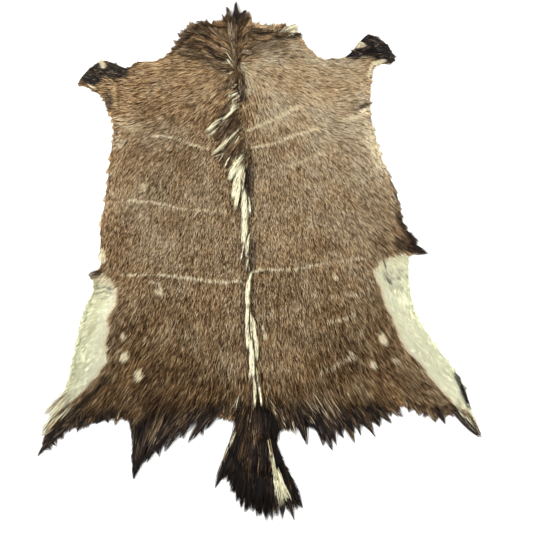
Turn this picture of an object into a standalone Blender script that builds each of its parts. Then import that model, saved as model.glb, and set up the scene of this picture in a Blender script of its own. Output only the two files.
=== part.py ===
"""Antelope hide with its hair on, opened flat and lying hair side up.

One dressed skin, so one solid: a slab as thick as skin and coat together, with the outline of
the opened hide and locks of hair all round its rim. The underside is flat. The top is lumpy,
higher along the crest of the back and over the tail, and thinner on the pale flanks.

The edge table is written in millimetres from the middle of the rump: X to the hide's right as
seen from its tail, Y towards the neck, Z up. The finished hide is moved so that the origin is
under the middle of its box.
"""

import math
from typing import NamedTuple

import bmesh
import bpy
from mathutils import Vector, noise
from mathutils.geometry import delaunay_2d_cdt, intersect_line_line_2d

MM = 0.001

# Heights above the surface that the hide lies on, in millimetres.
RIM_HEIGHT = 3.0
COAT_HEIGHT = 9.0
PALE_FLANK_HEIGHT = 5.5
LUMP_HEIGHT = 1.7
LUMP_SIZE = 46.0
LUMP_ROUGHNESS = 1.0
LUMP_STEP = 2.0
LUMP_LAYERS = 3
LOCK_TIP_HEIGHT = 1.1

# How far in from the edge the coat reaches its full height.
RIM_SLOPE = 38.0

# Where the thin pale hair grows: how wide, from where to where, and how softly it gives way.
PALE_FLANK_WIDTH = 60.0
PALE_FLANK_FRONT = 1010.0
PALE_FLANK_BACK = 40.0
PALE_FLANK_OFF_MIDDLE = 200.0
PALE_FLANK_FADE = 60.0
PALE_FLANK_INNER_FADE = 25.0
BODY_MIDDLE = -40.0

# Spacing of points: along the edge, and over the top in rows and columns.
EDGE_PITCH = 12.0
ROW_PITCH = 23.0
COLUMN_PITCH = 24.0
CREST_COLUMNS = (0.0, 9.0, 20.0, 36.0)
WIDEST_OFF_CREST = 620.0
EDGE_CLEARANCE = 10.0

# The share of its root's width that a lock of hair narrows to.
LOCK_TIP_SHARE = 0.16

# How unevenly long the locks are, how far they sway, and how soon each changes along the edge.
LOCK_UNEVENNESS = 1.1
LOCK_LENGTH_RHYTHM = 0.73
LOCK_LENGTH_PATTERN = 4.2
LOCK_SWAY = 0.7
LOCK_SWAY_RHYTHM = 0.29
LOCK_SWAY_PATTERN = 9.7

# In a notch of the edge, a lock takes at most this share of the way across.
NOTCH_SHARE = 0.34
LONGEST_LOOK = 150.0
STEP_OFF_EDGE = 0.5

# How level the edges of a rim face are, and the angle past which an edge is drawn sharp.
LEVEL_SLACK = 0.01
SHARP_ANGLE = 40.0


class Edge(NamedTuple):
    """One stretch of the hide's edge, clockwise as seen from above, sizes in millimetres."""

    name: str
    lock_length: float
    roots_per_lock: int
    lean_x: float
    lean_y: float
    points: tuple


class Tuft(NamedTuple):
    """A lock that stands out from its neighbours, from its root at the edge to its tip."""

    root: tuple
    tip: tuple


class CrestSection(NamedTuple):
    """The back line at one distance from the rump: its place, and its ridge of longer hair."""

    y: float
    x: float
    height: float
    half_width: float


class Crease(NamedTuple):
    """A soft trough pressed in the coat, from one point to another."""

    start: tuple
    end: tuple
    depth: float
    half_width: float


EDGES = (
    Edge("neck_right", 18.0, 1, 0.1, 0.5, (
        (-40, 1165), (0, 1152), (38, 1156), (80, 1138),
    )),
    Edge("neck_right_cut", 7.0, 3, 0.3, -0.1, (
        (108, 1098), (136, 1064), (165, 1040),
    )),
    Edge("right_foreleg", 9.0, 3, 0.3, 0.0, (
        (190, 1046), (220, 1045), (248, 1066), (276, 1104), (303, 1128), (336, 1110),
        (360, 1082), (374, 1036), (348, 1026), (318, 1022), (303, 984), (295, 921),
    )),
    Edge("right_side", 10.0, 2, 0.1, -0.5, (
        (294, 842), (309, 754), (331, 672), (347, 636), (358, 566), (362, 532), (376, 504),
    )),
    Edge("right_side_tuft", 5.0, 3, 0.1, -0.5, (
        (389, 484), (394, 466), (402, 452), (386, 446), (371, 438), (367, 400), (366, 358),
    )),
    Edge("right_haunch", 8.0, 2, 0.2, -0.5, (
        (375, 292), (398, 243), (419, 205), (443, 171), (464, 138), (479, 107), (486, 70),
        (499, 20), (504, -8),
    )),
    Edge("right_hind_point", 7.0, 2, 0.0, 0.0, (
        (492, 8), (470, 40),
    )),
    Edge("right_hind_edge", 17.0, 1, 0.0, -0.2, (
        (450, 46), (424, 36), (402, 38), (366, 50), (323, 62),
    )),
    Edge("rump_right", 46.0, 2, 0.25, -0.4, (
        (290, 40), (252, 26), (210, 16), (168, 8), (124, 10), (92, 14),
    )),
    Edge("tail_root_right", 5.0, 2, 0.0, 0.0, (
        (72, 12), (54, 4), (38, 6), (28, 0), (22, -16),
    )),
    Edge("tail_right", 15.0, 1, 0.0, -1.3, (
        (30, -48), (46, -84), (62, -120),
    )),
    Edge("tail_end", 34.0, 1, 0.0, -1.3, (
        (66, -146), (40, -156), (4, -160), (-34, -152), (-58, -134), (-70, -118),
        (-80, -100),
    )),
    Edge("tail_left", 15.0, 1, 0.0, -1.3, (
        (-92, -80), (-92, -66), (-82, -44),
    )),
    Edge("tail_root_left", 5.0, 2, 0.0, 0.0, (
        (-71, -16), (-70, 8), (-80, 24), (-96, 28), (-114, 32),
    )),
    Edge("rump_left", 40.0, 2, -0.4, -0.5, (
        (-140, 36), (-174, 20), (-206, 8), (-236, -4),
    )),
    Edge("left_spike", 6.0, 3, -0.1, -0.6, (
        (-262, -30), (-284, -56), (-302, -84), (-312, -82), (-316, -50), (-319, -6),
        (-334, 28),
    )),
    Edge("left_hind_edge", 16.0, 2, -0.1, -0.4, (
        (-366, 30), (-412, 20), (-446, 12), (-478, 4), (-504, -18), (-526, -42),
    )),
    Edge("left_haunch", 8.0, 2, -0.2, -0.5, (
        (-525, 2), (-509, 42), (-496, 76), (-486, 110), (-478, 168), (-471, 225), (-466, 270),
        (-455, 311), (-443, 347), (-446, 380),
    )),
    Edge("left_side", 10.0, 2, -0.1, -0.5, (
        (-430, 406), (-436, 450), (-437, 483), (-440, 534), (-434, 590), (-432, 639),
        (-430, 726), (-427, 797), (-433, 843), (-452, 877),
    )),
    Edge("left_foreleg", 9.0, 3, -0.3, 0.0, (
        (-466, 912), (-504, 942), (-540, 958), (-530, 986), (-510, 1012), (-478, 1038),
        (-442, 1027), (-402, 1010), (-384, 1028), (-350, 1034), (-318, 1036),
    )),
    Edge("neck_left", 20.0, 1, -0.1, 0.5, (
        (-283, 1062), (-264, 1092), (-240, 1132), (-215, 1160), (-174, 1162), (-142, 1164),
    )),
    Edge("mane", 62.0, 1, 0.0, 1.0, (
        (-124, 1168), (-92, 1172), (-60, 1168),
    )),
)

TUFTS = (
    Tuft((-307, -83), (-312, -110)),
    Tuft((-244, -12), (-250, -52)),
    Tuft((-264, -33), (-281, -74)),
    Tuft((400, 454), (424, 444)),
    Tuft((-444, 372), (-464, 386)),
    Tuft((502, 6), (512, -20)),
    Tuft((-528, -42), (-542, -60)),
    Tuft((144, 8), (158, -46)),
    Tuft((88, 14), (98, -34)),
    Tuft((430, 36), (430, 14)),
    Tuft((-92, -82), (-120, -131)),
    Tuft((66, -146), (88, -176)),
    Tuft((50, -153), (64, -199)),
    Tuft((-92, 1172), (-92, 1248)),
)

CREST = (
    CrestSection(1260.0, -92.0, 8.0, 42.0),
    CrestSection(1145.0, -95.0, 9.0, 44.0),
    CrestSection(1040.0, -88.0, 6.0, 40.0),
    CrestSection(940.0, -85.0, 9.0, 34.0),
    CrestSection(810.0, -78.0, 12.0, 36.0),
    CrestSection(700.0, -72.0, 12.0, 34.0),
    CrestSection(600.0, -62.0, 9.0, 26.0),
    CrestSection(497.0, -54.0, 6.0, 20.0),
    CrestSection(243.0, -45.0, 5.0, 18.0),
    CrestSection(119.0, -31.0, 5.0, 20.0),
    CrestSection(40.0, -18.0, 8.0, 34.0),
    CrestSection(-20.0, -24.0, 13.0, 42.0),
    CrestSection(-90.0, -12.0, 13.0, 60.0),
    CrestSection(-150.0, 0.0, 6.0, 60.0),
    CrestSection(-240.0, 0.0, 2.0, 60.0),
)

CREASES = (
    Crease((-425, 845), (-350, 828), 3.0, 11.0),
    Crease((-430, 780), (-375, 752), 2.5, 12.0),
    Crease((292, 874), (212, 834), 3.0, 11.0),
    Crease((304, 790), (262, 742), 2.5, 12.0),
    Crease((330, 690), (288, 640), 2.5, 12.0),
    Crease((-462, 300), (-392, 276), 3.0, 14.0),
    Crease((-478, 180), (-404, 160), 2.5, 14.0),
    Crease((368, 330), (318, 300), 3.0, 14.0),
    Crease((-402, 1005), (-372, 948), 3.5, 16.0),
    Crease((165, 1036), (150, 968), 3.5, 16.0),
)


def smooth_between(before, start, end, after, share):
    """Point on the smooth curve through start and end, with the points on either side."""
    curve = 2.0 * start
    curve = curve + (end - before) * share
    curve = curve + (2.0 * before - 5.0 * start + 4.0 * end - after) * share ** 2
    curve = curve + (3.0 * start - before - 3.0 * end + after) * share ** 3
    return 0.5 * curve


def edge_loop():
    """Points round the hide at an even pitch, each with the stretch of edge it belongs to."""
    marks = [(Vector(point), edge) for edge in EDGES for point in edge.points]
    count = len(marks)
    loop = []
    for index, (start, edge) in enumerate(marks):
        before = marks[index - 1][0]
        end = marks[(index + 1) % count][0]
        after = marks[(index + 2) % count][0]
        steps = max(1, round((end - start).length / EDGE_PITCH))
        for step in range(steps):
            loop.append((smooth_between(before, start, end, after, step / steps), edge))
    return loop


def back_line(y):
    """The crest's place and ridge at a distance from the rump, between the table's rows."""
    for upper, lower in zip(CREST, CREST[1:]):
        if y >= lower.y:
            share = min(1.0, (upper.y - y) / (upper.y - lower.y))
            pairs = zip(upper, lower)
            return CrestSection(*(a + (b - a) * share for a, b in pairs))
    return CREST[-1]


def distance_to_segment(point, start, end):
    """Shortest distance in the plane from a point to the line between two others."""
    along = end - start
    share = (point - start).dot(along) / max(along.length_squared, 1e-9)
    share = min(1.0, max(0.0, share))
    return (point - start - along * share).length


def distance_to_edge(point, outline):
    """Shortest distance from a point to the outline."""
    pairs = zip(outline, outline[1:] + outline[:1])
    return min(distance_to_segment(point, a, b) for a, b in pairs)


def is_inside(point, outline):
    """Whether a point lies within the outline, by counting the edges on its right."""
    inside = False
    for a, b in zip(outline, outline[1:] + outline[:1]):
        if (a.y > point.y) != (b.y > point.y):
            crossing = a.x + (point.y - a.y) * (b.x - a.x) / (b.y - a.y)
            if point.x < crossing:
                inside = not inside
    return inside


def eased(share):
    """A share from 0 to 1 with soft ends."""
    share = min(1.0, max(0.0, share))
    return share * share * (3.0 - 2.0 * share)


def pale_flank_share(point, to_edge):
    """How far a point belongs to the thin pale hair of the belly and inner legs."""
    behind_leg = eased((PALE_FLANK_FRONT - point.y) / PALE_FLANK_FADE)
    before_haunch = eased((point.y - PALE_FLANK_BACK) / PALE_FLANK_FADE)
    off_middle = abs(point.x - BODY_MIDDLE) - PALE_FLANK_OFF_MIDDLE
    near_edge = eased((PALE_FLANK_WIDTH - to_edge) / PALE_FLANK_INNER_FADE)
    return behind_leg * before_haunch * eased(off_middle / PALE_FLANK_FADE) * near_edge


def coat_height(point, outline):
    """Height of the coat's top above the ground at a point within the outline."""
    to_edge = distance_to_edge(point, outline)
    pale = pale_flank_share(point, to_edge)
    height = COAT_HEIGHT + (PALE_FLANK_HEIGHT - COAT_HEIGHT) * pale
    crest = back_line(point.y)
    height += crest.height * math.exp(-((point.x - crest.x) / crest.half_width) ** 2)
    place = Vector((point.x, point.y, 0.0)) / LUMP_SIZE
    height += LUMP_HEIGHT * noise.fractal(place, LUMP_ROUGHNESS, LUMP_STEP, LUMP_LAYERS)
    for crease in CREASES:
        away = distance_to_segment(point, Vector(crease.start), Vector(crease.end))
        height -= crease.depth * math.exp(-((away / crease.half_width) ** 2))
    return RIM_HEIGHT + (height - RIM_HEIGHT) * eased(to_edge / RIM_SLOPE)


def column_offsets():
    """Distances of the columns of points from the back line, closer together on the crest."""
    offsets = list(CREST_COLUMNS)
    while offsets[-1] < WIDEST_OFF_CREST:
        offsets.append(offsets[-1] + COLUMN_PITCH)
    return sorted({side * offset for offset in offsets for side in (-1.0, 1.0)})


def inner_points(outline):
    """Points over the top, in rows across the back line, that stay clear of the outline."""
    top = max(point.y for point in outline)
    bottom = min(point.y for point in outline)
    offsets = column_offsets()
    points = []
    for row in range(int((top - bottom) / ROW_PITCH) + 1):
        y = bottom + (row + 0.5) * ROW_PITCH
        line = back_line(y).x
        for offset in offsets:
            point = Vector((line + offset, y))
            if is_inside(point, outline) and distance_to_edge(point, outline) > EDGE_CLEARANCE:
                points.append(point)
    return points


def flat_sheet(outline):
    """The hide as a flat mesh of triangles within its outline, facing down."""
    count = len(outline)
    points = outline + inner_points(outline)
    loop = [list(range(count))]
    places, _, faces, _, _, _ = delaunay_2d_cdt(points, [], loop, 1, 1e-4)
    sheet = bmesh.new()
    verts = [sheet.verts.new((place.x, place.y, 0.0)) for place in places]
    for face in faces:
        sheet.faces.new([verts[index] for index in face])
    bmesh.ops.recalc_face_normals(sheet, faces=sheet.faces)
    if sum(face.normal.z for face in sheet.faces) > 0.0:
        bmesh.ops.reverse_faces(sheet, faces=sheet.faces)
    return sheet


def raise_coat(hide, outline):
    """Draw the sheet up into a slab, shape its top, and leave one flat face underneath."""
    underside = list(hide.faces)
    raised = bmesh.ops.extrude_face_region(hide, geom=underside, use_keep_orig=True)
    for item in raised["geom"]:
        if isinstance(item, bmesh.types.BMVert):
            item.co.z = coat_height(item.co.xy, outline)
    bmesh.ops.dissolve_faces(hide, faces=underside, use_verts=True)
    bmesh.ops.recalc_face_normals(hide, faces=hide.faces)


def rim_faces(hide):
    """The upright faces round the slab, found by their level edges."""
    hide.normal_update()
    return [face for face in hide.faces
            if abs(face.normal.z) < LEVEL_SLACK and len(face.verts) == 4]


def nearest_mark(place, loop):
    """Index of the outline point nearest a place."""
    return min(range(len(loop)), key=lambda index: (loop[index][0] - place).length_squared)


def way_across(start, way, outline):
    """Distance from just off the edge to where a way meets the edge again."""
    begin = start + way * STEP_OFF_EDGE
    end = start + way * LONGEST_LOOK
    hits = [intersect_line_line_2d(begin, end, a, b)
            for a, b in zip(outline, outline[1:] + outline[:1])]
    return min([(hit - start).length for hit in hits if hit] + [LONGEST_LOOK])


def lock_reach(face, index, loop):
    """How far and which way a lock grows from its rim face, longer and shorter by turns."""
    edge = loop[index][1]
    rhythm = Vector((index * LOCK_LENGTH_RHYTHM, LOCK_LENGTH_PATTERN, 0.0))
    unevenness = noise.noise(rhythm)
    sway = noise.noise(Vector((index * LOCK_SWAY_RHYTHM, LOCK_SWAY_PATTERN, 0.0)))
    along = Vector((-face.normal.y, face.normal.x))
    way = face.normal.xy + Vector((edge.lean_x, edge.lean_y)) + along * sway * LOCK_SWAY
    way.normalize()
    across = way_across(face.calc_center_median().xy, way, [place for place, _ in loop])
    length = edge.lock_length * (1.0 + LOCK_UNEVENNESS * unevenness)
    return way * min(length, across * NOTCH_SHARE)


def lock_of_hair(hide, face, reach):
    """Draw one rim face out into a tapered lock that lies level on the ground."""
    drawn = bmesh.ops.extrude_discrete_faces(hide, faces=[face])["faces"][0]
    middle = drawn.calc_center_median().xy
    for vert in drawn.verts:
        vert.co.xy = middle + (vert.co.xy - middle) * LOCK_TIP_SHARE + reach
        vert.co.z = LOCK_TIP_HEIGHT if vert.co.z > 0.0 else 0.0


def hair_locks(hide, loop):
    """Locks of hair round the rim, as thickly set as each stretch of edge asks."""
    faces = {}
    for face in rim_faces(hide):
        faces[nearest_mark(face.calc_center_median().xy, loop)] = face
    reaches = {}
    for index, face in sorted(faces.items()):
        edge = loop[index][1]
        if index % edge.roots_per_lock == 0:
            reaches[index] = lock_reach(face, index, loop)
    for tuft in TUFTS:
        index = min(faces, key=lambda item: (loop[item][0] - Vector(tuft.root)).length)
        reaches[index] = Vector(tuft.tip) - faces[index].calc_center_median().xy
    for index, reach in sorted(reaches.items()):
        lock_of_hair(hide, faces[index], reach)
    return len(reaches)


def to_ground_origin(hide):
    """Move the hide so that the origin is under the middle of its box, in metres."""
    xs = [vert.co.x for vert in hide.verts]
    ys = [vert.co.y for vert in hide.verts]
    middle = Vector(((min(xs) + max(xs)) / 2.0, (min(ys) + max(ys)) / 2.0, 0.0))
    bmesh.ops.translate(hide, verts=hide.verts, vec=-middle)
    bmesh.ops.scale(hide, verts=hide.verts, vec=(MM, MM, MM))


def coat_material():
    """Brown hair, soft and without shine."""
    material = bpy.data.materials.new("brown_coat")
    material.use_nodes = True
    shader = material.node_tree.nodes["Principled BSDF"]
    shader.inputs["Base Color"].default_value = (0.19, 0.12, 0.06, 1.0)
    shader.inputs["Roughness"].default_value = 0.8
    shader.inputs["Metallic"].default_value = 0.0
    return material


def build_hide():
    """The whole hide as one closed solid."""
    loop = edge_loop()
    outline = [place for place, _ in loop]
    hide = flat_sheet(outline)
    raise_coat(hide, outline)
    locks = hair_locks(hide, loop)
    to_ground_origin(hide)
    mesh = bpy.data.meshes.new("hide")
    hide.to_mesh(mesh)
    hide.free()
    mesh.materials.append(coat_material())
    mesh.shade_smooth()
    mesh.set_sharp_from_angle(angle=math.radians(SHARP_ANGLE))
    bpy.context.collection.objects.link(bpy.data.objects.new("hide", mesh))
    print(f"hide: {len(outline)} edge points, {locks} locks")


for leftover in list(bpy.data.objects):
    bpy.data.objects.remove(leftover)
build_hide()
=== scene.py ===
"""Antelope hide with its hair on, opened flat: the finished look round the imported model.

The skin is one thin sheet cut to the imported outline. Its coat is made of tapered hairs in
layers that follow the lay of the hair, with the mane, the pale line of the back, the tail
brush, the dark fringe of the haunches and the hair of the rim as pieces of their own.

Places are written in millimetres from the middle of the rump, X to the hide's right as seen
from its tail and Y towards the neck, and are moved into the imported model's frame.
"""

import logging
import math
from dataclasses import dataclass
from enum import Enum
from typing import NamedTuple, Sequence

import bmesh
import bpy
import numpy as np
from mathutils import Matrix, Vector
from mathutils.bvhtree import BVHTree


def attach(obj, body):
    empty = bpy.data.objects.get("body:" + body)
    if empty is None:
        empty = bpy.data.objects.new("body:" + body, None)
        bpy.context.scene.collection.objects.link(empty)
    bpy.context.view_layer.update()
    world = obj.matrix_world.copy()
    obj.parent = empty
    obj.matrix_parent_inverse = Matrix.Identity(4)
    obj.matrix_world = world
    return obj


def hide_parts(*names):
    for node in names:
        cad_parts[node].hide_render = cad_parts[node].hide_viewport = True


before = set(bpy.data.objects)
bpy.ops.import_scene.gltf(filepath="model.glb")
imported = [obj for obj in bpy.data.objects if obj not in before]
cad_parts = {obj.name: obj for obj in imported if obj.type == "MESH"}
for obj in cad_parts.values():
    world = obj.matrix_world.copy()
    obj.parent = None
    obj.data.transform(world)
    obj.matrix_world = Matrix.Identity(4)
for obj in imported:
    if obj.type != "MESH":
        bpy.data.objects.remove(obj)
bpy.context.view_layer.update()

MM = 0.001
SEED = 4107
BODY = "root"
NODE = "hide"

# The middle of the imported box, measured from the middle of the rump, in millimetres.
BOX_MIDDLE = np.array((-15.8, 521.2))

# The slab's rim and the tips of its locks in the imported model, in metres.
RIM_TOP = 3.0 * MM
LOCK_TIP_TOP = 1.1 * MM
HEIGHT_SLACK = 0.12 * MM

# Keeps a division by a length from failing where the length is nothing.
TINY = 1e-12

# What each hair's material reads, besides how far along the hair a point is.
HAIR_LABELS = ("shade", "tone", "warm", "pale", "dark")


class Mix(NamedTuple):
    """What colours the hairs of a lock: the share that are cream, and how the rest look."""

    cream: float
    dark: float
    tone: float
    warm: float


class Pigment(Enum):
    """The mixes of hair that locks are made of."""

    CREAM = Mix(0.82, 0.45, 0.5, 0.15)
    LIGHT = Mix(0.36, 0.55, 0.5, 0.35)
    GRIZZLED = Mix(0.10, 0.7, 0.45, 0.3)
    GREY_BROWN = Mix(0.02, 0.5, 0.52, 0.1)
    BROWN = Mix(0.0, 0.3, 0.45, 0.8)
    UMBER = Mix(0.0, 0.66, 0.46, 0.7)
    RED_BROWN = Mix(0.0, 0.82, 0.4, 1.0)
    DARK = Mix(0.0, 1.0, 0.2, 0.3)
    BLACK = Mix(0.0, 1.2, 0.1, 0.1)


CREAM, LIGHT, GRIZZLED, GREY_BROWN, BROWN, UMBER, RED_BROWN, DARK, BLACK = Pigment


class LayMark(NamedTuple):
    """The way the hair lies at a place: degrees from straight back, positive to the right."""

    x: float
    y: float
    turn: float


class CoatMark(NamedTuple):
    """The coat round a place: tone of its brown from 0 for dark to 1 for tan, and hair length."""

    x: float
    y: float
    tone: float
    length: float


class FlankRow(NamedTuple):
    """Where the pale flank begins at a distance along the hide, and how pale it is there."""

    x: float
    y: float
    pale: float


class Streak(NamedTuple):
    """A marking along a path of places, with soft sides and a strength, below 0 if it dulls."""

    path: tuple
    half_width: float
    softness: float
    strength: float


class LockRow(NamedTuple):
    """A long lock of hair from where it is rooted to its tip, in millimetres."""

    root_x: float
    root_y: float
    tip_x: float
    tip_y: float
    spread: float
    tip_spread: float
    arch: float
    count: int
    pigment: Pigment
    bend: float = 0.0

    @property
    def reach(self) -> float:
        """The lock's length."""
        return float(np.linalg.norm((self.tip_x - self.root_x, self.tip_y - self.root_y)))

    def at(self, share: np.ndarray, across: np.ndarray) -> np.ndarray:
        """Places along the lock.

        Args:
            share: how far along each place is, from 0 at the root to 1 at the tip.
            across: how far off the lock's middle it is, as a share of its half width.

        Returns:
            One place in millimetres for each share.
        """
        way = np.array((self.tip_x - self.root_x, self.tip_y - self.root_y)) / self.reach
        side = np.array((-way[1], way[0]))
        wide = self.spread + (self.tip_spread - self.spread) * np.clip(share, 0.0, 1.0)
        bow = self.bend * 4.0 * share * (1.0 - share)
        return ((self.root_x, self.root_y) + way * (share * self.reach)[:, None]
                + side * (across * wide + bow)[:, None])


LAY = tuple(LayMark(*row) for row in (
    (-91, 1220, 180), (-91, 1150, 178), (-94, 1095, 176), (-150, 1150, -125), (-205, 1135, -106),
    (-250, 1085, -84), (-170, 1085, -98), (-130, 1090, -128), (-200, 1050, -78), (-40, 1130, 135),
    (10, 1130, 96), (60, 1125, 84), (-35, 1075, 108), (30, 1075, 84), (95, 1085, 74),
    (-20, 1020, 58), (30, 985, 44), (100, 1030, 68), (100, 955, 56), (190, 960, 70),
    (265, 960, 85), (275, 1060, 94), (335, 1085, 80), (220, 880, 78), (290, 880, 72),
    (150, 870, 38), (60, 870, 26), (60, 780, 22), (0, 790, 10), (-25, 900, 12), (-30, 960, 22),
    (-140, 1010, -50), (-120, 950, -34), (-200, 960, -50), (-265, 960, -60), (-340, 960, -70),
    (-330, 880, -58), (-420, 960, -86), (-445, 1015, -96), (-505, 995, -98), (-425, 880, -84),
    (-425, 825, -76), (-385, 785, -36), (-420, 740, -20), (-250, 850, -36), (-200, 815, -24),
    (-150, 855, -30), (-90, 820, -14), (-390, 650, -10), (-250, 650, -12), (-150, 650, -8),
    (-60, 650, -3), (40, 650, 9), (150, 650, 17), (250, 650, 24), (325, 650, 30), (-400, 450, -8),
    (-250, 450, -10), (-120, 450, -6), (-20, 450, 1), (80, 450, 6), (200, 450, 14), (330, 490, 36),
    (385, 470, 66), (-430, 325, -70), (-438, 255, -62), (-446, 195, -46), (-450, 130, -36),
    (-484, 60, -44), (-398, 250, -8), (-402, 190, -12), (-412, 150, -26), (330, 340, 16),
    (345, 270, 26), (376, 200, 33), (418, 130, 38), (462, 70, 40), (-300, 300, -12),
    (-150, 300, -6), (0, 300, 2), (120, 300, 7), (250, 300, 18), (345, 300, 30), (-310, 150, -30),
    (-200, 150, -20), (-100, 150, -8), (0, 150, 4), (100, 150, 12), (200, 150, 22), (320, 150, 34),
    (430, 130, 40), (-425, 60, -38), (-320, 55, -28), (-310, 0, -8), (-300, -50, -12),
    (-262, 10, -34), (-210, 60, -38), (-130, 70, -26), (-60, 70, -9), (10, 70, 12), (80, 60, 24),
    (160, 45, 30), (250, 60, 33), (350, 90, 36), (430, 70, 48), (480, 40, 58), (-515, 10, -34),
    (495, 20, 50), (-55, 0, -24), (-20, 0, -2), (15, -10, 12), (-80, -100, -28), (-20, -100, -4),
    (40, -110, 20),
))

COAT_MARKS = tuple(CoatMark(*row) for row in (
    (-200, 1130, 0.28, 34), (-150, 1110, 0.36, 36), (-90, 1130, 0.4, 34), (-30, 1140, 0.78, 30),
    (40, 1110, 0.7, 30), (110, 1060, 0.76, 26), (-260, 1080, 0.34, 28), (-300, 1010, 0.54, 20),
    (-420, 990, 0.42, 14), (-500, 980, 0.4, 12), (-400, 900, 0.48, 18), (-320, 920, 0.58, 20),
    (-200, 920, 0.62, 21), (-110, 930, 0.62, 24), (-200, 1010, 0.52, 24), (20, 1010, 1.04, 24),
    (120, 960, 1.06, 21), (250, 980, 0.94, 18), (330, 1080, 0.6, 13), (60, 880, 1.02, 20),
    (200, 860, 0.98, 18), (270, 860, 0.9, 17), (-400, 780, 0.62, 13), (-280, 760, 0.57, 13),
    (-150, 780, 0.6, 14), (0, 730, 0.74, 13), (150, 740, 0.9, 13), (290, 740, 0.88, 13),
    (-380, 620, 0.66, 12), (-220, 620, 0.68, 12), (60, 600, 0.76, 12), (230, 600, 0.8, 12),
    (330, 560, 0.7, 17), (-400, 480, 0.58, 12), (-260, 450, 0.66, 12), (-120, 450, 0.7, 12),
    (60, 470, 0.74, 12), (230, 450, 0.7, 12), (350, 480, 0.48, 24), (-350, 310, 0.52, 12),
    (-200, 330, 0.6, 12), (-80, 320, 0.62, 12), (80, 330, 0.64, 12), (220, 320, 0.58, 16),
    (-330, 160, 0.31, 18), (-180, 180, 0.45, 18), (-80, 180, 0.54, 17), (60, 180, 0.56, 17),
    (190, 170, 0.31, 18), (310, 160, 0.26, 19), (-440, 250, 0.6, 26), (-450, 140, 0.6, 32),
    (-490, 40, 0.45, 28), (-380, 60, 0.2, 26), (-280, 70, 0.08, 32), (-160, 80, 0.17, 28),
    (-40, 90, 0.46, 20), (70, 80, 0.38, 24), (180, 70, 0.28, 34), (-300, 0, 0.24, 46),
    (-200, 30, 0.26, 44), (120, 30, 0.28, 42), (230, 40, 0.28, 40), (330, 90, 0.46, 26),
    (400, 60, 0.42, 24), (440, 90, 0.4, 24), (350, 330, 0.6, 22), (390, 200, 0.6, 30),
    (470, 60, 0.5, 28),
))

# Boundary between the brown coat and the pale flank of each side, from front to hind point.
LEFT_FLANK = tuple(FlankRow(*row) for row in (
    (-474, 402, 0), (-434, 392, 0.3), (-406, 376, 0.4), (-388, 347, 0.84), (-386, 311, 1),
    (-401, 276, 1), (-397, 246, 1), (-402, 218, 1), (-397, 159, 1), (-420, 124, 1), (-451, 83, 1),
    (-478, 57, 1), (-504, 28, 1), (-520, 4, 0.8), (-540, -30, 0.2),
))
RIGHT_FLANK = tuple(FlankRow(*row) for row in (
    (428, 446, 0), (398, 440, 0.7), (330, 432, 0.8), (300, 418, 0.86), (276, 392, 0.92),
    (292, 350, 1), (306, 294, 1), (330, 230, 1), (347, 190, 1), (374, 163, 1), (399, 127, 1),
    (425, 91, 1), (458, 59, 1), (480, 34, 0.95), (496, 10, 0.6), (508, -12, 0.2),
))

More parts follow.
